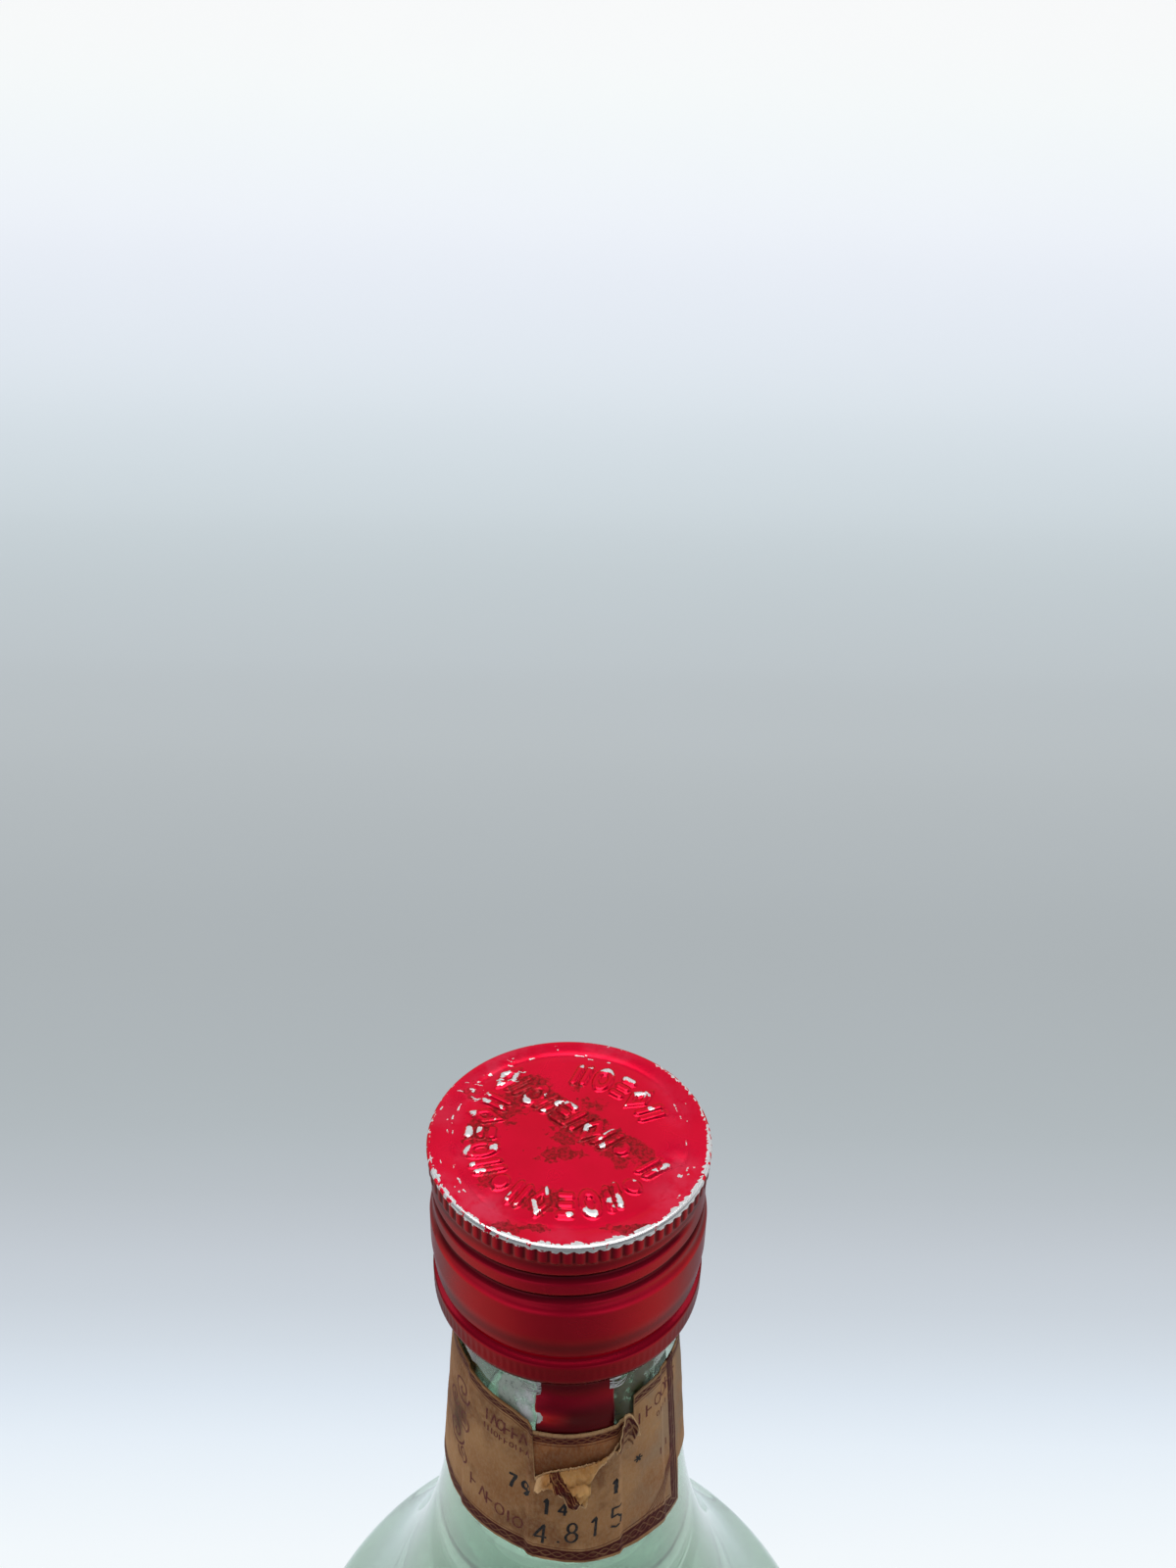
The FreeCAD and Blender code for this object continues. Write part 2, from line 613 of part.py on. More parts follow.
def outer_trim():
    """What is cut off the outer band: the torn top, the sagging foot and the stepped end."""
    beyond = 2 * size("cap_radius")
    above = size("total_height") - size("outer_top") + 1.0
    top = [front_place(*place) for place in LEFT_EDGE + TEAR + RIGHT_EDGE]
    top += [FreeCAD.Vector(top[-1].x, 0, above), FreeCAD.Vector(top[0].x, 0, above)]
    foot = [front_place(angle, size("outer_bottom") + share * size("outer_sag"))
            for angle, share in LOWER_EDGE]
    below = foot[-1].z - 2.0
    foot += [FreeCAD.Vector(beyond, 0, foot[-1].z), FreeCAD.Vector(beyond, 0, below),
             FreeCAD.Vector(-beyond, 0, below), FreeCAD.Vector(-beyond, 0, foot[0].z)]
    step_high = front_place(size("outer_cut"), size("outer_step"))
    step_low = FreeCAD.Vector(step_high.x, 0, below)
    end = [step_high, step_low, FreeCAD.Vector(beyond, 0, below),
           FreeCAD.Vector(beyond, 0, step_high.z)]
    behind = Part.makeBox(
        2 * beyond, beyond, size("outer_sag") + 2.0,
        FreeCAD.Vector(-beyond, 0, size("total_height") - size("outer_bottom")
                       - size("outer_sag") - 2.0))
    return [front_prism(top), front_prism(foot), front_prism(end), behind]


def folded_scrap():
    """Second layer of paper where the torn scrap lies folded down over the band."""
    angles = [angle for angle, depth in SCRAP]
    depths = [depth for angle, depth in SCRAP]
    layer = draped_sheet(scrap_lift, min(depths) - 1.0, max(depths) + 1.0,
                         min(angles) - 3.0, max(angles) + 3.0)
    return layer.common(front_prism([front_place(*place) for place in SCRAP]))


def paper_feature(label, shape):
    feature = doc.addObject("Part::Feature", label)
    feature.Label = label
    feature.Shape = shape
    feature.Placement = FreeCAD.Placement()
    return feature


def make_inner_band():
    """Inner tax band, which shows in the tear of the outer one."""
    shape = draped_sheet(inner_lift, size("inner_top"), size("inner_bottom"),
                         size("inner_left"), size("inner_right"))
    return paper_feature("tax_band_inner", shape)


def make_outer_band():
    """Outer tax band, torn open in front, which goes round behind the neck."""
    deepest = size("outer_bottom") + size("outer_sag")
    shape = draped_sheet(outer_lift, size("outer_top"), deepest,
                         size("outer_left"), size("outer_right"))
    for tool in outer_trim():
        shape = shape.cut(tool)
    before = len(shape.Faces)
    shape = shape.fuse(folded_scrap())
    if len(shape.Faces) <= before:
        raise RuntimeError("the folded scrap added nothing")
    return paper_feature("tax_band_outer", shape.Solids[0] if len(shape.Solids) == 1 else shape)


PARTS = [make_bottle(), make_drink(), make_cap(), make_inner_band(), make_outer_band()]


def check_document():
    """Stop when any object failed or a sub-part isn't one valid solid."""
    doc.removeObject(reader.Name)
    doc.recompute()
    for item in doc.Objects:
        if "Invalid" in item.State or "Error" in item.State:
            raise RuntimeError("%s failed: %s" % (item.Label, item.State))
    for part in PARTS:
        shape = part.Shape
        if shape.isNull() or not shape.isValid():
            raise RuntimeError("%s has no valid shape" % part.Label)
        if len(shape.Solids) != 1:
            raise RuntimeError("%s has %d solids" % (part.Label, len(shape.Solids)))


def write_parts():
    os.makedirs("parts", exist_ok=True)
    for part in PARTS:
        part.Shape.exportStep("parts/%s.step" % part.Label)
        print(part.Label, "volume", round(part.Shape.Volume, 1), "mm3")


check_document()
write_parts()
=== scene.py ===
"""Looks of a one litre grappa bottle: old pressed glass, a lacquered roll-on cap, torn tax paper."""

import math
import random

import bpy
from mathutils import Matrix, Vector, noise


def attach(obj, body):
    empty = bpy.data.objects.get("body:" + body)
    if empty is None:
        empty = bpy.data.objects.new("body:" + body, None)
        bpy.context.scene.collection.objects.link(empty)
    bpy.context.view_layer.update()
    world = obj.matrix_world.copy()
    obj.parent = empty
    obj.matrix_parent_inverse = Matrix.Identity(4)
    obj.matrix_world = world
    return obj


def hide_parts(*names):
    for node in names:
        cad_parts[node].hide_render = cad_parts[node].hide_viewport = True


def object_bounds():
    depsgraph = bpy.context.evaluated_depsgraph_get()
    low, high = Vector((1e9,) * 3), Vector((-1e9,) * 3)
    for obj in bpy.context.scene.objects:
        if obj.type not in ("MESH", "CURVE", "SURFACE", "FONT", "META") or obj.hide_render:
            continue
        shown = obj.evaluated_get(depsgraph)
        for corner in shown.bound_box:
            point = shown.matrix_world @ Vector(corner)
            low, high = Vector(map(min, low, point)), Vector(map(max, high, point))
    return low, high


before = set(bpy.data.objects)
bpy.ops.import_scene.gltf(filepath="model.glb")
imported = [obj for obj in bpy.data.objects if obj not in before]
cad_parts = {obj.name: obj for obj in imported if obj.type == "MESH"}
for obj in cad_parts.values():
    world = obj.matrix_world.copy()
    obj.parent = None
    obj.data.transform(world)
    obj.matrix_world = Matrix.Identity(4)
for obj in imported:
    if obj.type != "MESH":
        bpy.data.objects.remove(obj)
cad_low, cad_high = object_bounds()
random.seed(41)

MM = 0.001
TOP = cad_high.z / MM            # height of the cap's top, mm; depths are measured down from it
BODY = cad_high.x / MM           # radius of the straight body, mm

# sizes of the solids in mm and degrees, with depths below the cap's top
NECK_DEPTH, NECK_RADIUS, NECK_SLOPE = 24.0, 13.0, 4.65          # the neck's cone
THROAT_DEPTH, THROAT_BEND, SHOULDER_BEND = 51.7, 113.0, 29.0    # the hollow and the shoulder
WALL, HEEL, FOOT, FLOOR_GLASS, PUNT = 2.8, 7.0, 3.0, 5.0, 7.0   # the wall and the base
FILL_DEPTH, FILL_REACH = 47.0, 0.06      # the drink's level, and how far it reaches into the wall
CAP, GRIP, BAND = 15.75, 15.45, 15.8     # radii of the cap's rim, of its grip and of its band
PANEL_EDGE = 15.4                        # radius where the panel turns over into the side
UNDER_PANEL, CAP_FOOT = 0.95, 21.4
RIBS, FLUTES = 76, 118                   # round the grip, and round the break-off ring
THREAD_DEPTH, THREAD_PITCH, THREAD_SINK = 7.95, 3.0, 0.42
THREAD_START, THREAD_END = -80.0, 424.0
SLIT_START, SLIT_LENGTH, SLIT_COUNT = 23.0, 57.0, 5
SHEET, PAPER, GLUE = 0.3, 0.18, 0.06     # thickness of the aluminium, the paper and the glue
TONGUE_LEFT, TONGUE_RIGHT = -14.0, 23.5
TONGUE_TOP, TONGUE_FOOT, TONGUE_GAP = 21.1, 41.0, 0.1
PER_DEGREE = 0.26                        # paper for each degree round the neck
BORDERLESS = 9.0                         # farther from an edge than a printed border reaches
INK_RISE, FILM_RISE = 0.025, 0.02        # how far print stands off paper, and films off glass


# ---------------------------------------------------------------- small helpers

def ease(low, high, value):
    """0 below low, 1 above high, smooth between."""
    share = min(max((value - low) / (high - low), 0.0), 1.0)
    return share * share * (3 - 2 * share)


def hump(middle, half, value):
    """1 at the middle, 0 a half width away."""
    return ease(1.0, 0.0, abs(value - middle) / half) if abs(value - middle) < half else 0.0


def swell(angle, count=1, middle=0.0):
    """Wave from 0 to 1, count times round the bottle, with a crest at the middle."""
    return 0.5 + 0.5 * math.cos(math.radians(angle - middle) * count)


def follow(stations, value):
    """Value read off a line drawn through (place, value) stations."""
    if value <= stations[0][0]:
        return stations[0][1]
    for (a, p), (b, q) in zip(stations, stations[1:]):
        if value <= b:
            return p + (q - p) * (value - a) / (b - a)
    return stations[-1][1]


def grain(a, b, c=0.0):
    return noise.noise(Vector((a, b, c)))


def around(angle, depth, radius):
    """Place at an angle from the front, a depth under the cap's top and a radius, in metres."""
    turn = math.radians(angle)
    return Vector((radius * math.sin(turn), -radius * math.cos(turn), TOP - depth)) * MM


def neck(depth):
    """Outside of the glass from the mouth down to the throat."""
    return NECK_RADIUS + (depth - NECK_DEPTH) * math.tan(math.radians(NECK_SLOPE))


def piece(name, points, faces, material, node=None, flat=None, marks=None):
    """Mesh that rides on the bottle, with its unrolled millimetres as UVs and named marks."""
    mesh = bpy.data.meshes.new(name)
    mesh.from_pydata([tuple(p) for p in points], [], faces)
    mesh.polygons.foreach_set("use_smooth", [True] * len(mesh.polygons))
    if flat:
        layer = mesh.uv_layers.new(name="unrolled")
        values = []
        for loop in mesh.loops:
            values.extend(flat[loop.vertex_index])
        layer.data.foreach_set("uv", values)
    for mark, values in (marks or {}).items():
        mesh.attributes.new(mark, "FLOAT", "POINT").data.foreach_set("value", values)
    mesh.materials.append(material)
    mesh.validate()
    thing = bpy.data.objects.new(name, mesh)
    bpy.context.scene.collection.objects.link(thing)
    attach(thing, "root")
    if node:
        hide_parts(node)
    return thing


def grid(rows, columns, ring=False, first=0):
    """Faces of a grid of rows by columns, whose rows close on themselves for a ring."""
    faces = []
    for row in range(rows - 1):
        for column in range(columns if ring else columns - 1):
            right = (column + 1) % columns
            a = first + row * columns
            b = a + columns
            faces.append((a + column, b + column, b + right, a + right))
    return faces


def fans(rows, columns, first):
    """Faces that close the first and the last ring of a turned skin on two middle points."""
    faces, last = [], (rows - 1) * columns
    for index in range(columns):
        right = (index + 1) % columns
        faces.append((first, index, right))
        faces.append((first + 1, last + right, last + index))
    return faces


def sheet_faces(rows, columns):
    """Faces of a thin sheet: its front, its back, and the strips along its four edges."""
    count = rows * columns
    faces = grid(rows, columns) + [tuple(reversed(f)) for f in grid(rows, columns, first=count)]
    for row in range(rows - 1):
        a, b = row * columns, (row + 1) * columns
        faces.append((a, a + count, b + count, b))
        a, b = a + columns - 1, b + columns - 1
        faces.append((b, b + count, a + count, a))
    for column in range(columns - 1):
        faces.append((column + 1, column + 1 + count, column + count, column))
        a = (rows - 1) * columns + column
        faces.append((a, a + count, a + count + 1, a + 1))
    return faces


# ---------------------------------------------------------------- materials

def linear(code):
    """sRGB hex to linear colour."""
    channels = [int(code[i:i + 2], 16) / 255 for i in (1, 3, 5)]
    return [c / 12.92 if c <= 0.04045 else ((c + 0.055) / 1.055) ** 2.4 for c in channels] + [1.0]


def finish(name):
    """Empty node material."""
    material = bpy.data.materials.new(name)
    material.use_nodes = True
    material.node_tree.nodes.clear()
    return material, material.node_tree


def put(tree, kind, links=None, **settings):
    """One node: settings by property or input name, links by input name or number."""
    node = tree.nodes.new("ShaderNode" + kind)
    for key, value in settings.items():
        if key == "stops":
            ramp = node.color_ramp
            ramp.interpolation = "CARDINAL"
            while len(ramp.elements) < len(value):
                ramp.elements.new(0.5)
            for element, (place, shade) in zip(ramp.elements, value):
                element.position = place
                element.color = linear(shade)
        elif hasattr(node, key):
            setattr(node, key, value)
        else:
            label = key.replace("_", " ")
            found = [i for i in node.inputs if i.name.lower() == label.lower()]
            found[0].default_value = linear(value) if isinstance(value, str) else value
    for key, source in (links or {}).items():
        slot = node.inputs[key]
        if isinstance(source, (int, float)):
            slot.default_value = source
        elif isinstance(source, str):
            slot.default_value = linear(source)
        else:
            tree.links.new(source, slot)
    return node


def sums(tree, operation, a, b=0.0, c=None):
    """A Math node's result; a, b and c are numbers or sockets."""
    links = {0: a, 1: b}
    if c is not None:
        links[2] = c
    return put(tree, "Math", links, operation=operation).outputs[0]


def blend(tree, share, under, over):
    """Colour mixed from under to over."""
    node = put(tree, "Mix", data_type="RGBA")
    for slot, source in ((0, share), (6, under), (7, over)):
        if isinstance(source, (int, float)):
            node.inputs[slot].default_value = source
        elif isinstance(source, str):
            node.inputs[slot].default_value = linear(source)
        else:
            tree.links.new(source, node.inputs[slot])
    return node.outputs[2]


def step(tree, value, low, high):
    """0 below low, 1 above high, smooth between."""
    node = put(tree, "MapRange", {"Value": value}, interpolation_type="SMOOTHSTEP",
               From_Min=low, From_Max=high)
    return node.outputs[0]


def speckle(tree, scale_mm, detail=3.0, roughness=0.55, shift=0.0, stretch=(1, 1, 1)):
    """Noise whose blotches are about scale_mm wide, in the object's own space."""
    place = put(tree, "TexCoord").outputs["Object"]
    moved = put(tree, "Mapping", {"Vector": place})
    moved.inputs["Location"].default_value = (shift, shift * 0.7, shift * 1.3)
    moved.inputs["Scale"].default_value = stretch
    node = put(tree, "TexNoise", {"Vector": moved.outputs[0]},
               Scale=0.5 / (scale_mm * MM), Detail=detail, Roughness=roughness)
    return node.outputs[0]


def mark(tree, name):
    return put(tree, "Attribute", attribute_name=name).outputs["Fac"]


def close(tree, shader, volume=None):
    out = put(tree, "OutputMaterial")
    tree.links.new(shader, out.inputs["Surface"])
    if volume:
        tree.links.new(volume, out.inputs["Volume"])


def pressed_soda_lime_glass():
    """Pale green soda-lime glass from an iron mould: clear, greenish where thick, a little
    wavy and dusty, so its highlights wander."""
    material, tree = finish("pressed_soda_lime_glass")
    waves = speckle(tree, 9.0, 1.0)
    dust = speckle(tree, 0.35, 6.0, 0.7)
    bump = put(tree, "Bump", {"Height": waves}, Strength=0.12, Distance=0.0012)
    haze = sums(tree, "MULTIPLY_ADD", step(tree, dust, 0.5, 0.75), 0.05, 0.015)
    surface = put(tree, "BsdfPrincipled", {"Roughness": haze, "Normal": bump.outputs[0]},
                  Base_Color="#F1FAF4", IOR=1.52, Transmission_Weight=1.0)
    absorb = put(tree, "VolumeAbsorption", Color="#66A088", Density=52.0)
    close(tree, surface.outputs[0], absorb.outputs[0])
    return material


def clear_grappa():
    """Clear spirit: bends light a little more than water, with hardly any tint."""
    material, tree = finish("clear_grappa")
    swirl = speckle(tree, 30.0, 0.0)
    bump = put(tree, "Bump", {"Height": swirl}, Strength=0.02, Distance=0.001)
    surface = put(tree, "BsdfPrincipled", {"Normal": bump.outputs[0]}, Base_Color="#FBFEFC",
                  Roughness=0.0, IOR=1.36, Transmission_Weight=1.0)
    close(tree, surface.outputs[0])
    return material


def lacquered_aluminium():
    """Deep-drawn aluminium under clear red stoving lacquer: the metal mirrors softly through a
    deep red, rubbed bare on edges and embossing, with brown dirt held in the low places."""
    material, tree = finish("lacquered_aluminium")
    fine = speckle(tree, 0.22, 5.0, 0.65)
    middling = speckle(tree, 0.8, 5.0, 0.6, 0.3)
    broad = speckle(tree, 5.0, 3.0, 0.5, 0.7)
    # the lacquer's red, a touch deeper in broad clouds
    red = blend(tree, step(tree, broad, 0.35, 0.7), "#E00032", "#D2002B")
    red = blend(tree, mark(tree, "shade"), red, "#560014")
    # painted pink sheen, over the panel's dents and round its outer ring
    chalk = sums(tree, "MULTIPLY", mark(tree, "chalk"), step(tree, middling, 0.3, 0.62))
    red = blend(tree, chalk, red, "#DC3A55")
    # dirt: browner and matt
    dirt_edge = sums(tree, "ADD", mark(tree, "dirt"), sums(tree, "MULTIPLY", middling, 0.9))
    dirt = step(tree, dirt_edge, 0.88, 1.0)
    dirt = sums(tree, "MULTIPLY", dirt, sums(tree, "MULTIPLY_ADD", step(tree, fine, 0.4, 0.6),
                                             0.4, 0.5))
    coat = blend(tree, dirt, red, "#6E1613")
    # bare metal: ragged where the marks for rubbed edges meet fine noise
    ragged = sums(tree, "MULTIPLY_ADD", fine, 0.55, sums(tree, "MULTIPLY", middling, 0.45))
    bare_edge = sums(tree, "ADD", mark(tree, "rubbed"), ragged)
    bare = step(tree, bare_edge, 1.0, 1.035)
    skin = put(tree, "Bump", {"Height": middling}, Strength=0.08, Distance=0.0002)
    chipped = put(tree, "Bump", {"Height": bare, "Normal": skin.outputs[0]}, Strength=0.5,
                  Distance=0.00004)
    chipped.invert = True
    gloss = sums(tree, "MULTIPLY_ADD", dirt, 0.4, sums(tree, "MULTIPLY_ADD", broad, 0.08, 0.24))
    lacquer = put(tree, "BsdfPrincipled",
                  {"Base Color": coat, "Roughness": gloss, "Normal": chipped.outputs[0]},
                  Metallic=0.85, IOR=1.5, Specular_IOR_Level=0.08, Specular_Tint="#A03054",
                  Coat_Weight=0.17, Coat_Roughness=0.22)
    metal_tone = blend(tree, fine, "#E8E8EA", "#B9B7B6")
    metal = put(tree, "BsdfPrincipled",
                {"Base Color": metal_tone, "Normal": chipped.outputs[0]},
                Metallic=1.0, Roughness=0.36)
    both = put(tree, "MixShader", {0: bare, 1: lacquer.outputs[0], 2: metal.outputs[0]})
    close(tree, both.outputs[0])
    return material


def tax_paper(name, fresh, old, stain):
    """Thin state-printed paper, brown with age: matt fibre, blotches, burgundy guilloche
    borders, and pale fluff along a tear."""
    material, tree = finish(name)
    flat = put(tree, "UVMap", uv_map="unrolled").outputs[0]
    split = put(tree, "SeparateXYZ", {0: flat})
    run = split.outputs[0]
    fibre = speckle(tree, 0.16, 6.0, 0.7, 0.2, (1, 1, 0.5))
    blotch = speckle(tree, 3.2, 5.0, 0.6, 0.5)
    cloud = speckle(tree, 6.0, 2.0, 0.5, 0.9)
    tone = blend(tree, step(tree, cloud, 0.35, 0.62), fresh, old)
    tone = blend(tree, sums(tree, "MULTIPLY", step(tree, blotch, 0.43, 0.64), 0.85), tone, stain)
    tone = blend(tree, sums(tree, "MULTIPLY", step(tree, fibre, 0.35, 0.75), 0.2), tone,
                 "#D9BE97")
    # paler in blotches towards the right
    pale = sums(tree, "MULTIPLY", step(tree, run, 3.0, 12.0), step(tree, blotch, 0.35, 0.65))
    tone = blend(tree, sums(tree, "MULTIPLY", pale, 0.5), tone, "#C6A986")
    tone = blend(tree, sums(tree, "MULTIPLY", mark(tree, "soiled"),
                            step(tree, blotch, 0.25, 0.6)), tone, "#453226")
    # borders: a solid burgundy band with two pale waves crossing in it
    worn = step(tree, speckle(tree, 0.5, 5.0, 0.7, 0.1), 0.32, 0.5)
    for edge, wide in (("from_top", 1.35), ("from_foot", 2.0)):
        inside = mark(tree, edge)
        band = sums(tree, "MULTIPLY", step(tree, inside, 0.32, 0.42),
                    sums(tree, "SUBTRACT", 1.0, step(tree, inside, wide - 0.08, wide + 0.04)))
        lines = None
        for phase in (0.0, math.pi):
            wave = sums(tree, "SINE", sums(tree, "MULTIPLY_ADD", run, 2.4, phase))
            rise = sums(tree, "MULTIPLY_ADD", wave, wide * 0.2, (wide + 0.36) / 2)
            away = sums(tree, "ABSOLUTE", sums(tree, "SUBTRACT", inside, rise))
            line = sums(tree, "SUBTRACT", 1.0, step(tree, away, 0.05, 0.11))
            lines = line if lines is None else sums(tree, "MAXIMUM", lines, line)
        ink = sums(tree, "MULTIPLY", band,
                   sums(tree, "MULTIPLY_ADD", lines, -0.5, 1.0))
        hair = sums(tree, "SUBTRACT", 1.0, step(
            tree, sums(tree, "ABSOLUTE", sums(tree, "SUBTRACT", inside, wide + 0.3)), 0.04, 0.1))
        ink = sums(tree, "MAXIMUM", ink, sums(tree, "MULTIPLY", hair, 0.7))
        ink = sums(tree, "MULTIPLY", ink, sums(tree, "MULTIPLY_ADD", worn, 0.26, 0.74))
        tone = blend(tree, ink, tone, "#4E1410")
    torn = sums(tree, "MULTIPLY", mark(tree, "torn"), step(tree, fibre, 0.25, 0.5))
    tone = blend(tree, torn, tone, "#DDB484")
    height = sums(tree, "MULTIPLY_ADD", blotch, 1.6, fibre)
    bump = put(tree, "Bump", {"Height": height}, Strength=0.45, Distance=0.00008)
    surface = put(tree, "BsdfPrincipled", {"Base Color": tone, "Normal": bump.outputs[0]},
                  Roughness=0.75, IOR=1.45, Specular_IOR_Level=0.2)
    close(tree, surface.outputs[0])
    return material


def printed_ink(name, strong, faded):
    """Ink soaked into rough paper: matt, and broken where the fibre shows through."""
    material, tree = finish(name)
    gaps = step(tree, speckle(tree, 0.3, 4.0, 0.7), 0.42, 0.62)
    tone = blend(tree, gaps, strong, faded)
    surface = put(tree, "BsdfPrincipled", {"Base Color": tone}, Roughness=0.8, IOR=1.45)
    close(tree, surface.outputs[0])
    return material


def dried_glue(name, film_tone, grit_tone, body):
    """Film of old label glue on the glass: cloudy, with dark grit stuck in it; made white, the same
    film is a painted glint on the glass.
    """
    material, tree = finish(name)
    grit = step(tree, speckle(tree, 0.3, 5.0, 0.75), 0.56, 0.62)
    cloud = step(tree, speckle(tree, 1.2, 4.0, 0.6, 0.4), 0.2, 0.5)
    tone = blend(tree, grit, film_tone, grit_tone)
    film = put(tree, "BsdfPrincipled", {"Base Color": tone}, Roughness=0.5)
    through = put(tree, "BsdfTransparent")
    cover = sums(tree, "MULTIPLY", mark(tree, "cover"),
                 sums(tree, "MAXIMUM", sums(tree, "MULTIPLY", cloud, body), grit))
    both = put(tree, "MixShader", {0: cover, 1: through.outputs[0], 2: film.outputs[0]})
    close(tree, both.outputs[0])
    return material


GLASS = pressed_soda_lime_glass()
GRAPPA = clear_grappa()
LACQUER = lacquered_aluminium()
INNER_PAPER = tax_paper("aged_inner_paper", "#AE6C3C", "#97562C", "#7C431F")
OUTER_PAPER = tax_paper("aged_outer_paper", "#BC8A5A", "#9E683C", "#774524")
FOLDED_PAPER = tax_paper("reverse_of_paper", "#DBA869", "#CB9150", "#B0743A")
BURGUNDY = printed_ink("burgundy_print", "#6A2A20", "#834A34")
STAMP = printed_ink("black_stamp", "#17161A", "#3A322D")
GLUE_FILM = dried_glue("dried_glue", "#B6BAB0", "#3A453C", 0.9)
# painted glint: a white patch on the glass beside the tongue's left edge
PAINTED_GLINT = dried_glue("painted_glint", "#FFFFFF", "#F4FAF8", 1.0)
MOSSY_FILM = dried_glue("mossy_dirt", "#4C421B", "#1E1C0C", 0.96)


# ---------------------------------------------------------------- the glass and the drink

def arc_steps(start, end, count):
    return [start + (end - start) * i / count for i in range(count + 1)]


def outside_line():
    """(radius, depth, lean) down the outside of the glass from the neck to the body; the lean
    is the angle of the surface off the level."""
    slope = math.radians(NECK_SLOPE)
    line = [(neck(d), d, slope) for d in arc_steps(NECK_DEPTH, THROAT_DEPTH, 22)]
    start = neck(THROAT_DEPTH)
    steep = math.acos((start + THROAT_BEND * math.cos(slope) + SHOULDER_BEND - BODY)
                      / (THROAT_BEND + SHOULDER_BEND))
    for lean in arc_steps(slope, steep, 36)[1:]:
        line.append((start + THROAT_BEND * (math.cos(slope) - math.cos(lean)),
                     THROAT_DEPTH + THROAT_BEND * (math.sin(lean) - math.sin(slope)), lean))
    end_depth = line[-1][1] + SHOULDER_BEND * math.sin(steep)
    for lean in arc_steps(steep, 0.0, 24)[1:]:
        line.append((BODY - SHOULDER_BEND + SHOULDER_BEND * math.cos(lean),
                     end_depth - SHOULDER_BEND * math.sin(lean), lean))
    for depth in arc_steps(end_depth, TOP - HEEL, 30)[1:]:
        line.append((BODY, depth, 0.0))
    return line


OUTSIDE = outside_line()


def uneven(radius, depth, angle):
    """Uneven inside of hand-gathered glass, mm."""
    turn = math.radians(angle)
    place = Vector((math.sin(turn) * 1.3, -math.cos(turn) * 1.3, depth / 26))
    return 0.28 * noise.noise(place) * ease(0, 20, radius)


def dish():
    """Radius of the ball that hollows the base, and the angle that it spans to the foot ring."""
    foot = BODY - HEEL - FOOT
    bowl = (foot ** 2 + PUNT ** 2) / (2 * PUNT)
    return bowl, math.asin(foot / bowl)


def inside_line(extra):
    """Inside of the glass from the neck's top to the middle of the base; extra pushes it
    out into the wall."""
    wall = WALL - extra
    line = [(r - wall * math.cos(lean), d + wall * math.sin(lean)) for r, d, lean in OUTSIDE]
    floor = FLOOR_GLASS - extra
    round_in = HEEL - wall
    bowl, reach = dish()
    for turn in arc_steps(0.0, math.pi / 2, 8)[1:]:
        line.append((BODY - HEEL + round_in * math.cos(turn),
                     TOP - (HEEL - WALL + floor) * (1 - math.sin(turn)) - floor * math.sin(turn)))
    for turn in arc_steps(reach, 0.0, 14):
        line.append((bowl * math.sin(turn), TOP - floor - PUNT + bowl * (1 - math.cos(turn))))
    return line


def turned(name, line, segments, material, node, wobble=None, upward=False):
    """Closed turned skin whose line starts and ends on the axis; upward says that its outside
    is drawn from the foot up."""
    rings = [p for p in line if p[0] > 1e-6]
    points = []
    for ring, (radius, depth) in enumerate(rings):
        for index in range(segments):
            angle = 360.0 * index / segments
            shift = wobble(radius, depth, angle, ring) if wobble else 0.0
            points.append(around(angle, depth, radius + shift))
    faces = grid(len(rings), segments, True) + fans(len(rings), segments, len(points))
    points += [around(0, line[0][1], 0), around(0, line[-1][1], 0)]
    if upward:
        faces = [tuple(reversed(face)) for face in faces]
    return piece(name, points, faces, material, node)


def make_glass():
    """Foot dish, heel, body, shoulder, neck and mouth, then back down the inside."""
    bowl, reach = dish()
    under = [(bowl * math.sin(t), TOP - PUNT + bowl * (1 - math.cos(t)))
             for t in arc_steps(0.0, reach, 14)]
    heel = [(BODY - HEEL + HEEL * math.sin(t), TOP - HEEL + HEEL * math.cos(t))
            for t in arc_steps(0.0, math.pi / 2, 10)]
    up = [entry[:2] for entry in reversed(OUTSIDE)][1:]
    # plain mouth under the cap, rounded at its lip: (radius, depth)
    mouth = [(14.3, 20.3), (14.3, 1.5), (14.0, 0.8), (13.4, 0.55), (10.6, 0.55), (10.2, 0.9)]
    outer_count = len(under) - 1 + len(heel) + len(up) + len(mouth)

    def wobble(radius, depth, angle, ring):
        return uneven(radius, depth, angle) if ring > outer_count else 0.0

    return turned("glass_bottle", under + heel + up + mouth + inside_line(0.0), 192, GLASS,
                  "bottle_glass", wobble, True)


def make_drink():
    """The grappa reaches into the glass, so that no air shows, and climbs it in a meniscus."""
    line = [p for p in inside_line(FILL_REACH) if p[1] > FILL_DEPTH + 0.3]
    edge = line[0][0]
    reach, rise = 2.6, 0.9
    level = FILL_DEPTH + rise
    climb = [(edge - reach * (1 - s), level - rise * s ** 3) for s in arc_steps(0, 1, 6)]
    surface = [(0.0, level), (edge * 0.4, level)] + climb[:-1]
    surface.append((edge - 0.02, FILL_DEPTH + 0.05))

    def wobble(radius, depth, angle, ring):
        return uneven(radius, depth, angle) if ring >= len(surface) - 2 else 0.0

    return turned("grappa", surface + line, 144, GRAPPA, "grappa_fill", wobble)


# ---------------------------------------------------------------- the cap

